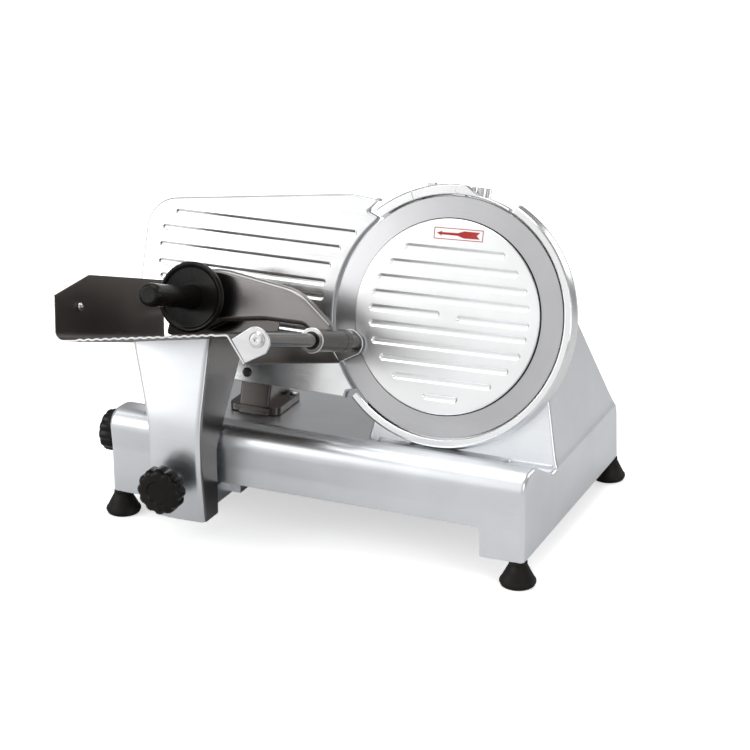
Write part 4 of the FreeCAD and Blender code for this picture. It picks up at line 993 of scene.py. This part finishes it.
def lobed(radius, height, lobes, hollow, crown=2.0):
    """Moulded knob: lobed rim, waisted neck and a slightly domed face, base at the origin."""
    steps = lobes * 16
    profile = [(radius * 0.55, 0), (radius * 0.60, height * 0.2), (radius * 0.93, height * 0.3),
               (radius, height * 0.42), (radius, height * 0.8), (radius * 0.95, height * 0.92),
               (radius * 0.82, height), (radius * 0.5, height + crown * 0.1), (radius * 0.46, height - 1.2),
               (0, height - 1.0)]
    bm = bmesh.new()
    verts = [bm.verts.new((r, 0, z)) for r, z in profile]
    edges = [bm.edges.new(pair) for pair in zip(verts, verts[1:])]
    bmesh.ops.spin(bm, geom=verts + edges, cent=(0, 0, 0), axis=(0, 0, 1), steps=steps,
                   angle=math.tau, use_merge=True)
    bmesh.ops.remove_doubles(bm, verts=bm.verts, dist=1e-4)
    for vert in bm.verts:
        away = math.hypot(vert.co.x, vert.co.y)
        if away < radius * 0.62:
            continue
        share = min(1.0, (away - radius * 0.62) / (radius * 0.3))
        angle = math.atan2(vert.co.y, vert.co.x) * lobes
        dip = hollow * share * (0.5 - 0.5 * math.cos(angle)) ** 1.6
        vert.co.x *= 1 - dip / away
        vert.co.y *= 1 - dip / away
    open_edges = boundary_loop(bm)
    bmesh.ops.contextual_create(bm, geom=open_edges)
    bmesh.ops.recalc_face_normals(bm, faces=bm.faces)
    return bm


def thickness_dial():
    low, high = table_mm("thickness_dial")
    middle = (low + high) / 2
    bm = lobed(22.6, 23.5, 12, 1.5)
    finish("dial_knob", bm, TABLE @ shift(high.x, middle.y, middle.z) @ FACING_LEFT, "dial",
           "black_plastic", ["thickness_dial"])
    shaft = spun([(0, -16.0), (5.0, -16.0), (5.0, 32.0, 0.6), (0, 32.0)], steps=40)
    finish("dial_spindle", shaft, TABLE @ shift(high.x + 1, middle.y, middle.z) @ FACING_RIGHT, "dial",
           "machined_bar", ["dial_shaft"])


# ---------------------------------------------------------------- carriage

TRAY_RISE = math.radians(9.3)
TRAY_CORNER = (-317.5, -67.7)
TRAY_DEPTHS = (8.0, 235.0)


def tray_frame():
    return BLADE @ shift(*TRAY_CORNER, 0) @ Matrix.Rotation(TRAY_RISE, 4, "Z")


def product_tray():
    """Bent sheet tray: end wall, ribbed floor that rises toward the blade, and a drop lip."""
    back, front = TRAY_DEPTHS
    width, wall, bend = 189.3, 67.0, 9.0
    pitch, height = sizes().rib_pitch / MM, sizes().rib_height / MM
    half = 0.9
    points = [(0, wall), (0, 40), (0, 20)]
    for i in range(7):
        angle = math.radians(180 + 90 * i / 6)
        points.append((bend + bend * math.cos(angle), bend + bend * math.sin(angle)))
    ribs_start, ribs_end = 22.0, 178.0
    steps = 8
    count = int((ribs_end - ribs_start) / pitch)
    for i in range(count * steps + 1):
        along = ribs_start + i * pitch / steps
        crest = 0.5 * (1 - math.cos(math.tau * i / steps))
        points.append((along, 0.25 + height * (0.9 * crest - 0.4)))
    points += [(width - 5, 0), (width - 2, -0.3), (width, -1.5), (width + 1.6, -3.9), (206.0, -28.2)]
    bm = bmesh.new()
    verts = [bm.verts.new((x, y, 0)) for x, y in points]
    edges = [bm.edges.new(pair) for pair in zip(verts, verts[1:])]
    depth_steps = [26.0 - back, 165.0 - back, front - back]
    done = 0.0
    for depth in depth_steps:
        edges, fresh = grown_edges(bm, edges)
        bmesh.ops.translate(bm, vec=(0, 0, depth - done), verts=fresh)
        done = depth
    trim_wall(bm, wall, front - back)
    bmesh.ops.recalc_face_normals(bm, faces=bm.faces)
    bmesh.ops.solidify(bm, geom=bm.faces[:], thickness=2 * half)
    bmesh.ops.recalc_face_normals(bm, faces=bm.faces)
    for face in bm.faces:
        if abs(face.normal.z) > 0.9:
            face.material_index = 1
    tray = finish("ribbed_tray", bm, tray_frame() @ shift(0, 0, back), "carriage",
                  "dark_sheet", ["product_tray"], crease=50, weighted=False, second="machined_bar")
    rounding = tray.modifiers.new("sheet_edges", "BEVEL")
    rounding.width = 0.0005
    rounding.segments = 2
    rounding.limit_method = "ANGLE"
    rounding.angle_limit = math.radians(50)


def trim_wall(bm, wall, depth):
    """Slope the end wall's top edge down toward the operator."""
    faces = [face for face in bm.faces if all(vert.co.x < 3.0 for vert in face.verts)]
    geom = set(faces)
    for face in faces:
        geom.update(face.verts)
        geom.update(face.edges)
    start, end = Vector((0, wall + 0.01, 157.0)), Vector((0, 44.0, depth))
    normal = Vector((0, end.z - start.z, start.y - end.y)).normalized()
    bmesh.ops.bisect_plane(bm, geom=list(geom), plane_co=start, plane_no=normal, clear_outer=True,
                           dist=1e-4)


def arm_outline(height):
    """Left, right, front and rear of the carriage arm at a height."""
    share = lambda a, b: max(0.0, min(1.0, (height - a) / (b - a)))
    left = -257.4
    if height > 100:
        over = height - 100
        left -= 0.0030 * over ** 2 * min(1.0, over / 40) if over < 60 else 10.8 + (over - 60) * 0.36
    rear_low, rear_high = -141.0, -46.0
    front = -170.5 - 6.5 * share(27, 85)
    if height > 112:
        over = height - 112
        front += 0.0042 * over ** 2 if over < 36 else 5.44 + (over - 36) * 0.302
    rear = rear_low if height < 100 else rear_low + (height - 100) * 0.72
    return left, -197.3, front, min(rear, rear_high)


def carriage_arm():
    """Hollow arm, open at the back, whose sides sweep up and out to the tray."""
    levels = [27, 32, 60, 85, 96, 106, 116, 126, 136, 146, 156, 166, 176, 186, 196, 206, 216, 226, 236]
    turn = 6.0
    bm = bmesh.new()
    last = None
    for level in levels:
        left, right, front, rear = arm_outline(level)
        points = [(left, rear)] + [(left + turn + x, front + turn + y) for x, y in arc(turn, 180, 270, 5)]
        points.append(((left + right) / 2, front - 1.2))
        points += [(right - turn + x, front + turn + y) for x, y in arc(turn, 270, 360, 5)] + [(right, rear)]
        verts = [bm.verts.new((x, y, level)) for x, y in points]
        edges = [bm.edges.new(pair) for pair in zip(verts, verts[1:])]
        if last:
            bmesh.ops.bridge_loops(bm, edges=last + edges)
        last = edges
    bmesh.ops.recalc_face_normals(bm, faces=bm.faces)
    if any(face.calc_center_median().y < -165 and face.normal.y > 0.5 for face in bm.faces):
        bmesh.ops.reverse_faces(bm, faces=bm.faces[:])
    bmesh.ops.solidify(bm, geom=bm.faces[:], thickness=3.5)
    bmesh.ops.recalc_face_normals(bm, faces=bm.faces)
    cutter = block((-60, 0, -40), (300, 160, 330))
    cutter = placed(cutter, TABLE.inverted() @ tray_frame() @ shift(0, -1.6, 0))
    hole = placed(pin(4.2, 0, 60, 24), shift(-229, -150, 71) @ FACING_FRONT)
    bm = carved(bm, cutter, hole)
    # Faces turned to the right (+X) get the darker casting finish: painted shade on the arm's right side.
    for flank in bm.faces:
        flank.material_index = int(flank.normal.x > 0.8)
    finish("swept_arm", bm, TABLE, "carriage", "brushed_casting", ["carriage_arm"],
           crease=40, second="dark_casting_and_painted_shade")


def arm_knob():
    low, high = table_mm("carriage_knob")
    middle = (low + high) / 2
    bm = lobed(24.8, 26.5, 12, 1.8)
    finish("clamping_knob", bm, TABLE @ shift(middle.x, high.y, middle.z) @ FACING_FRONT, "arm_knob",
           "black_plastic", ["carriage_knob"])
    stud = spun([(0, -40.0), (3.9, -40.0, 0.6), (3.9, -7.6), (7.5, -7.6, 0.6), (7.5, 0), (4.0, 0),
                 (4.0, 12.0), (0, 12.0)], steps=40)
    finish("clamping_stud", stud, TABLE @ shift(middle.x, high.y, middle.z) @ FACING_FRONT, "arm_knob",
           "zinc_plate_and_painted_shade", ["carriage_knob_stud"])


ROD = (-98.4, -38.1)
LUG_OUTLINE = [(-125.2, -41.3), (-101.0, -22.5, 12.0), (-82.5, -37.0, 12.0), (-88.0, -50.0, 3.0),
               (-108.4, -61.7)]


def rod_and_lugs():
    back, front = TRAY_DEPTHS
    hole = lambda: placed(pin(4.1, -5, 10, 32), shift(*ROD, 0))
    lugs = [placed(carved(plate(LUG_OUTLINE, 3.0, 0.6), hole()), shift(0, 0, depth))
            for depth in (back, front)]
    finish("rod_ears", joined(*lugs), BLADE, "carriage", "stainless", ["rod_lugs"])
    rod = spun([(0, back + 3), (7.0, back + 3, 0.6), (7.0, front, 0.6), (0, front)], steps=64)
    finish("polished_rod", rod, BLADE @ shift(*ROD, 0), "carriage",
           "dark_bar", ["pusher_rod"])
    bolt = spun([(0, 3.2), (5.3, 3.2, 0.8), (8.0, 1.6, 0.6), (8.0, 0), (4.0, 0), (4.0, -3), (0, -3)],
                steps=48)
    socket = placed(knurled(2.6, 2.0, 6), shift(0, 0, 1.6))
    front_bolt = placed(carved(bolt, socket), shift(0, 0, front + 3))
    rear_bolt = spun([(0, back + 0.2), (3.9, back + 0.2), (3.9, back + 12), (0, back + 12)], steps=32)
    finish("rod_end_bolts", joined(front_bolt, rear_bolt), BLADE @ shift(*ROD, 0), "carriage",
           "machined_bar", ["rod_bolts"])


def pan_head(radius, height, length=4.0):
    """Pan-head screw with a cross recess, head standing on Z = 0."""
    head = spun([(0, -length), (radius * 0.55, -length), (radius * 0.55, 0), (radius, 0, 0.1),
                 (radius, height * 0.5, height * 0.4), (radius * 0.55, height), (0, height)], steps=40)
    arm = radius * 0.55
    wide = radius * 0.13
    cross = [block((-arm, -wide, height * 0.45), (arm, wide, height + 1)),
             block((-wide, -arm, height * 0.45), (wide, arm, height + 1))]
    return carved(head, *cross)


def tray_screws():
    screws = [placed(pan_head(4.4, 1.3), shift(x, 1, depth) @ FACING_BACK)
              for x, depth in ((70, 92), (100, 120))]
    screws.append(placed(pan_head(4.4, 2.4), shift(1, 34, 188) @ FACING_RIGHT))
    finish("tray_pan_screws", joined(*screws), tray_frame(), "carriage", "machined_bar",
           ["tray_screws"])


# ---------------------------------------------------------------- pusher

PUSHER_OUTLINE = [(-284.0, 13.0, 18.0), (-225.0, 20.5, 60.0), (-137.0, 9.0, 50.0),
                  (-96.0, -22.0, 8.0), (-88.5, -38.0, 6.0), (-96.0, -49.0, 6.0), (-112.0, -40.0, 8.0),
                  (-124.0, -26.0, 12.0), (-172.0, -26.5, 40.0), (-222.0, -34.0, 10.0),
                  (-240.0, -44.0, 6.0), (-276.0, -50.0, 10.0), (-288.0, -20.0, 20.0)]
HANDLE = (-247.0, -12.5)


def pusher_casting():
    """Curved cast arm from the sleeve to behind the hand guard."""
    arm = plate(PUSHER_OUTLINE, 16.0, 5.0, 6)
    clear = placed(pin(9.05, -40, 60, 48), shift(*ROD, 0))
    arm = carved(arm, clear)
    placed(arm, shift(0, 0, 60))
    boss = placed(spun([(4.1, 0), (13.0, 0), (13.0, 19.8, 1.0), (4.1, 19.8)], steps=64), shift(*HANDLE, 70))
    finish("pusher_arm", joined(arm, boss), BLADE, "pusher",
           "dark_casting_and_painted_shade", ["pusher_casting"])
    sleeve = spun([(9.05, 0), (12.0, 0, 0.8), (12.0, 12, 0.3), (11.6, 13, 0.3), (11.6, 66, 0.3),
                   (12.0, 67, 0.3), (12.0, 79.0), (9.05, 79.0)], steps=72)
    finish("pusher_sleeve", sleeve, BLADE @ shift(*ROD, 32), "pusher",
           "blackened_steel_and_painted_shade", ["pusher_casting"])
    collar = spun([(9.1, 79.1), (12.2, 79.1, 0.4), (13.0, 79.8, 0.3), (13.0, 81.0, 0.6), (9.1, 81.0)],
                  steps=72)
    finish("sleeve_collar", collar, BLADE @ shift(*ROD, 32), "pusher",
           "machined_bar", ["pusher_casting"])
    bush = spun([(7.05, 34), (8.95, 34, 0.3), (8.95, 111, 0.3), (7.05, 111)], steps=64)
    finish("sleeve_lining", bush, BLADE @ shift(*ROD, 0), "pusher_bush", "blackened_steel_and_painted_shade",
           ["rod_bush"])


def press_plate():
    """Thin plate behind the casting with pointed teeth that hold the food."""
    outline = [(-289.0, -57.0, 4.0), (-160.0, -36.5, 4.0), (-160.0, 2.0, 8.0), (-210.0, 12.0, 30.0),
               (-280.0, 8.0, 10.0)]
    parts = [placed(plate(outline, 2.0, 0.4, 2), shift(0, 0, 58))]
    for row in range(4):
        for column in range(8):
            x = -275.0 + 14.0 * column + 4.0 * (row % 2)
            y = -44.0 + 13.0 * row + 0.16 * (x + 275.0)
            if y > 4.0:
                continue
            tooth = bmesh.new()
            bmesh.ops.create_cone(tooth, cap_ends=True, segments=20, radius1=2.2, radius2=0.4, depth=5.0)
            parts.append(placed(tooth, shift(x, y, 55.5) @ FACING_DOWN))
    finish("toothed_press_plate", joined(*parts), BLADE, "pusher",
           "dark_bar", ["press_plate"])


def handle():
    x, y = HANDLE
    disc = spun([(4.0, 0), (33.0, 0, 1.0), (36.6, 2.2, 1.8), (37.0, 6.5, 1.5), (35.2, 9.0, 1.2),
                 (33.0, 8.6, 1.0), (31.0, 6.2, 1.5), (15.5, 5.2, 1.0), (4.0, 5.0)], steps=128)
    finish("hand_guard_disc", disc, BLADE @ shift(x, y, 90), "pusher",
           "black_plastic", ["guard_disc"])
    grip = spun([(0, -29), (4.0, -29, 0.5), (4.0, 0), (13.4, 0, 0.5), (12.6, 8.0, 8.0), (11.5, 30, 60),
                 (11.6, 70, 60), (12.1, 86, 10.0), (11.0, 91, 3.0), (8.6, 93.0, 3.0), (0, 92.8)], steps=96)
    finish("hand_grip", grip, BLADE @ shift(x, y, 95), "pusher",
           "black_plastic", ["handle_grip"])


# ---------------------------------------------------------------- controls and knobs

def clamp_knob():
    grip = placed(knurled(10.4, 11.0, 28), shift(0, 0, 0.4))
    stud = spun([(0, -3.8), (2.95, -3.8, 0.4), (2.95, 0.5), (0, 0.5)], steps=32)
    finish("knurled_screw", joined(grip, stud), BLADE @ shift(11.5, 124.0, -24.0) @ FACING_BACK,
           "clamp_knob", "machined_bar", ["clamp_knob"], crease=25)


def cover_knob():
    knob = placed(lobed(18.8, 21.0, 6, 2.0), shift(0, 0, 147.4))
    rod = pin(3.9, -1.6, 147.6, 40)
    bm = placed(joined(knob, rod), FACING_DOWN)
    finish("cover_release_knob", bm, BLADE, "cover_knob",
           "black_plastic", ["cover_knob"])


def sharpener_buttons():
    for name, look in (("grinding", "black_plastic"), ("honing", "grey_plastic")):
        place = STONES[name]
        button = spun([(0, -16.0), (3.0, -16.0, 0.4), (3.0, -70.9), (9.0, -70.9, 0.8), (9.0, -80.0, 1.0),
                       (8.0, -84.0, 2.5), (4.0, -83.2, 3.0), (0, -83.0)], steps=56)
        finish(name + "_push", button, BLADE @ shift(*place, 0), name + "_button",
               look, [name + "_button"])
        stone = spun([(3.06, -14.0), (12.9, -14.0, 1.0), (12.9, -22.0, 1.0), (3.06, -22.0)], steps=64)
        finish(name + "_wheel", stone, BLADE @ shift(*place, 0), name + "_stone",
               "stone_grit", [name + "_stone"])


def switches():
    low, high = table_mm("switch_plate")
    for name in ("start_button", "stop_button"):
        button_low, button_high = table_mm(name)
        middle = (button_low + button_high) / 2
        proud = high.x - button_low.x
        cap = spun([(0, -9.5), (9.4, -9.5), (9.4, proud - 1.2, 0.6), (8.2, proud, 1.0),
                    (5.0, proud - 0.6, 2.0), (0, proud - 0.8)], steps=64)
        look = "green_plastic" if name == "start_button" else "red_plastic"
        finish("pressed_" + name, cap, TABLE @ shift(high.x, middle.y, middle.z) @ FACING_LEFT, name,
               look, [name])
    panel = plate(rectangle(low.y, low.z, high.y, high.z, 4), 1.9, 0.5, 2)
    holes = []
    for name in ("start_button", "stop_button"):
        middle = middle_of(name)
        holes.append(placed(pin(9.9, -5, 8, 48),
                            shift(middle.y, middle.z, 0)))
    panel = carved(panel, *holes)
    finish("switch_panel", panel, TABLE @ shift(low.x + 0.05, 0, 0) @ SIDE_VIEW, "base",
           "grey_plastic", ["switch_plate"])


def cable_gland():
    nut = plate([(x, y, 0.8) for x, y in arc(11, 0, 300, 5)], 4.0, 0.4, 2)
    neck = spun([(3.5, -12), (8, -12, 0.4), (8, 0.2), (3.5, 0.2)], steps=48)
    dome = spun([(3.5, 3.8), (8.5, 3.8), (8.5, 9.5, 2.0), (5.0, 13.6, 1.0), (3.5, 13.8)], steps=48)
    bore = pin(3.5, -14, 16, 32)
    bm = joined(carved(nut, bore), neck, dome)
    place = TABLE @ shift(95.0, 176.3, 52.0) @ Matrix.Rotation(math.radians(-82), 4, "X")
    finish("cord_gland", bm, place, "base", "black_plastic", ["cable_gland"])


def kept_parts():
    """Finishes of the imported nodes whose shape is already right."""
    dress("zinc_plate_and_painted_shade", "bottom_plate", "foot_screws", "casing_screws", "drive_plate",
          "drive_plate_standoffs", "gauge_slide_arm", "blade_screws", "press_plate_screws")
    dress("machined_bar", "slide_rod", "guide_rail", "blade_axle", "hub_bearings",
          "blade_hub", "driven_pulley", "motor_shaft", "motor_pulley", "gauge_cam")
    dress("stainless", "slice_deflector")
    dress("brushed_casting", "carriage_slider")
    dress("bronze_bush", "slider_bushes")
    dress("motor_paint", "motor_body")
    dress("black_rubber", "drive_belt")


# ---------------------------------------------------------------- stage

def soft_light(name, place, target, size, power):
    light = bpy.data.lights.new(name, "AREA")
    light.shape = "RECTANGLE"
    light.size, light.size_y = size
    light.energy = power
    lamp = bpy.data.objects.new(name, light)
    bpy.context.scene.collection.objects.link(lamp)
    lamp.location = place
    lamp.rotation_euler = (Vector(target) - Vector(place)).to_track_quat("-Z", "Y").to_euler()


def studio():
    stage = bpy.context.scene.slicer_stage
    camera_data = bpy.data.cameras.new("Camera")
    camera_data.lens = stage.camera_lens
    camera_data.sensor_width = 36.0
    camera_data.clip_start = 0.05
    camera = bpy.data.objects.new("Camera", camera_data)
    bpy.context.scene.collection.objects.link(camera)
    camera.location = TABLE @ Vector(stage.camera_from_blade)
    a, e = stage.camera_azimuth, stage.camera_elevation
    look = Vector((-math.sin(a) * math.cos(e), math.cos(a) * math.cos(e), -math.sin(e)))
    camera.rotation_euler = look.to_track_quat("-Z", "Y").to_euler()
    bpy.context.scene.camera = camera

    bm = bmesh.new()
    bmesh.ops.create_grid(bm, x_segments=2, y_segments=2, size=6.0)
    bmesh.ops.translate(bm, vec=(0, 0, -0.0003), verts=bm.verts)
    floor = new_object("studio_floor", bm)
    material = bpy.data.materials.new("floor_paper")
    material.use_nodes = True
    tree = material.node_tree
    shader = tree.nodes["Principled BSDF"]
    shader.inputs["Roughness"].default_value = 0.9
    shader.inputs["Specular IOR Level"].default_value = 0.1
    shader.inputs["Emission Color"].default_value = (1, 1, 1, 1)
    seen = tree.nodes.new("ShaderNodeLightPath").outputs["Is Camera Ray"]
    place = tree.nodes.new("ShaderNodeTexCoord").outputs["Object"]
    mottle = noise(tree, place, 3.0, 2.0)
    paper = tuple(stage.floor)
    dim = tuple(0.72 * channel for channel in stage.floor[:3]) + (1.0,)
    tone = blended(tree, seen, dim, paper)
    tone = blended(tree, spread(tree, mottle, 0.3, 0.7, 0.0, 0.02), tone, (0.8, 0.8, 0.8, 1.0))
    wire(tree, tone, shader.inputs["Base Color"])
    wire(tree, maths(tree, "MULTIPLY", seen, 0.55), shader.inputs["Emission Strength"])
    floor.data.materials.append(material)

    soft_light("overhead", (-0.1, 0.1, 1.9), (0, 0, 0.1), (1.8, 1.2), 18)
    soft_light("left_front", (-1.5, -1.4, 0.9), (0, 0, 0.15), (0.9, 1.1), 12)
    soft_light("right_front", (1.8, -0.9, 0.9), (0, 0, 0.15), (0.7, 1.2), 7)
    soft_light("behind_right", (1.3, 1.9, 1.0), (0, 0, 0.15), (1.2, 0.8), 7)

    world = bpy.data.worlds.new("studio")
    bpy.context.scene.world = world
    world.use_nodes = True
    tree = world.node_tree
    background = tree.nodes["Background"]
    ray = tree.nodes.new("ShaderNodeTexCoord").outputs["Generated"]
    screen = vector_maths(tree, "DOT_PRODUCT", ray, Vector((-0.37, -0.87, 0.33)).normalized())
    split = tree.nodes.new("ShaderNodeSeparateXYZ")
    wire(tree, ray, split.inputs[0])
    level = maths(tree, "ADD", spread(tree, screen, 0.35, 0.95, 0.32, 1.00),
                  spread(tree, split.outputs[2], 0.4, 0.98, 0.0, 0.12))
    seen = tree.nodes.new("ShaderNodeLightPath").outputs["Is Camera Ray"]
    level = maths(tree, "MAXIMUM", level, seen)
    wire(tree, level, background.inputs["Strength"])
    background.inputs["Color"].default_value = (1.0, 1.0, 1.0, 1)
    bpy.context.scene.view_settings.view_transform = "Standard"


# ---------------------------------------------------------------- operators and panel

class SLICER_OT_finishes(bpy.types.Operator):
    """Build the metal, plastic and rubber finishes"""
    bl_idname = "slicer.finishes"
    bl_label = "Finishes"

    def execute(self, context):
        build_finishes()
        return {"FINISHED"}


class SLICER_OT_base(bpy.types.Operator):
    """Build the base casting, tower, bracket and feet"""
    bl_idname = "slicer.base"
    bl_label = "Base"

    def execute(self, context):
        base_shell()
        motor_tower()
        tower_foot()
        inner_posts()
        gauge_bracket()
        feet()
        return {"FINISHED"}


class SLICER_OT_blade(bpy.types.Operator):
    """Build the blade, its housing, cover and rotation arrow"""
    bl_idname = "slicer.blade"
    bl_label = "Blade and cover"

    def execute(self, context):
        blade()
        housing()
        blade_cover()
        rotation_arrow()
        return {"FINISHED"}


class SLICER_OT_sharpener(bpy.types.Operator):
    """Build the sharpener with its buttons, stones and knurled screw"""
    bl_idname = "slicer.sharpener"
    bl_label = "Sharpener"

    def execute(self, context):
        sharpener()
        sharpener_buttons()
        clamp_knob()
        return {"FINISHED"}


class SLICER_OT_gauge(bpy.types.Operator):
    """Build the gauge plate, its stem and the thickness dial"""
    bl_idname = "slicer.gauge"
    bl_label = "Gauge plate and dial"

    def execute(self, context):
        gauge_plate()
        gauge_fittings()
        thickness_dial()
        return {"FINISHED"}


class SLICER_OT_carriage(bpy.types.Operator):
    """Build the tray, the arm, its knob and the pusher's rod"""
    bl_idname = "slicer.carriage"
    bl_label = "Carriage"

    def execute(self, context):
        product_tray()
        carriage_arm()
        arm_knob()
        rod_and_lugs()
        tray_screws()
        return {"FINISHED"}


class SLICER_OT_pusher(bpy.types.Operator):
    """Build the pusher, its toothed plate, guard disc and grip"""
    bl_idname = "slicer.pusher"
    bl_label = "Pusher"

    def execute(self, context):
        pusher_casting()
        press_plate()
        handle()
        return {"FINISHED"}


class SLICER_OT_controls(bpy.types.Operator):
    """Build the switches, the cord gland and the cover's knob, and finish the kept parts"""
    bl_idname = "slicer.controls"
    bl_label = "Controls"

    def execute(self, context):
        switches()
        cable_gland()
        cover_knob()
        kept_parts()
        return {"FINISHED"}


class SLICER_OT_studio(bpy.types.Operator):
    """Set up the floor, lights and camera"""
    bl_idname = "slicer.studio"
    bl_label = "Studio"

    def execute(self, context):
        studio()
        return {"FINISHED"}


STEPS = ("finishes", "studio", "base", "blade", "sharpener", "gauge", "carriage", "pusher", "controls")


class SLICER_PT_panel(bpy.types.Panel):
    """Lists the slicer's pieces in the sidebar"""
    bl_idname = "SLICER_PT_panel"
    bl_label = "Meat slicer"
    bl_space_type = "VIEW_3D"
    bl_region_type = "UI"
    bl_category = "Slicer"

    def draw(self, context):
        for group in (context.scene.slicer_sizes, context.scene.slicer_colours, context.scene.slicer_stage):
            for name in group.__annotations__:
                self.layout.prop(group, name)
        for step in STEPS:
            self.layout.operator("slicer." + step)


CLASSES = (SlicerSizes, SlicerColours, SlicerStage, SLICER_OT_finishes, SLICER_OT_base, SLICER_OT_blade,
           SLICER_OT_sharpener, SLICER_OT_gauge, SLICER_OT_carriage, SLICER_OT_pusher,
           SLICER_OT_controls, SLICER_OT_studio, SLICER_PT_panel)


def register():
    for entry in CLASSES:
        bpy.utils.register_class(entry)
    bpy.types.Scene.slicer_sizes = PointerProperty(type=SlicerSizes)
    bpy.types.Scene.slicer_colours = PointerProperty(type=SlicerColours)
    bpy.types.Scene.slicer_stage = PointerProperty(type=SlicerStage)


def unregister():
    del bpy.types.Scene.slicer_stage
    del bpy.types.Scene.slicer_colours
    del bpy.types.Scene.slicer_sizes
    for entry in reversed(CLASSES):
        bpy.utils.unregister_class(entry)


def main():
    register()
    for step in STEPS:
        getattr(bpy.ops.slicer, step)()


if __name__ == "__main__":
    main()
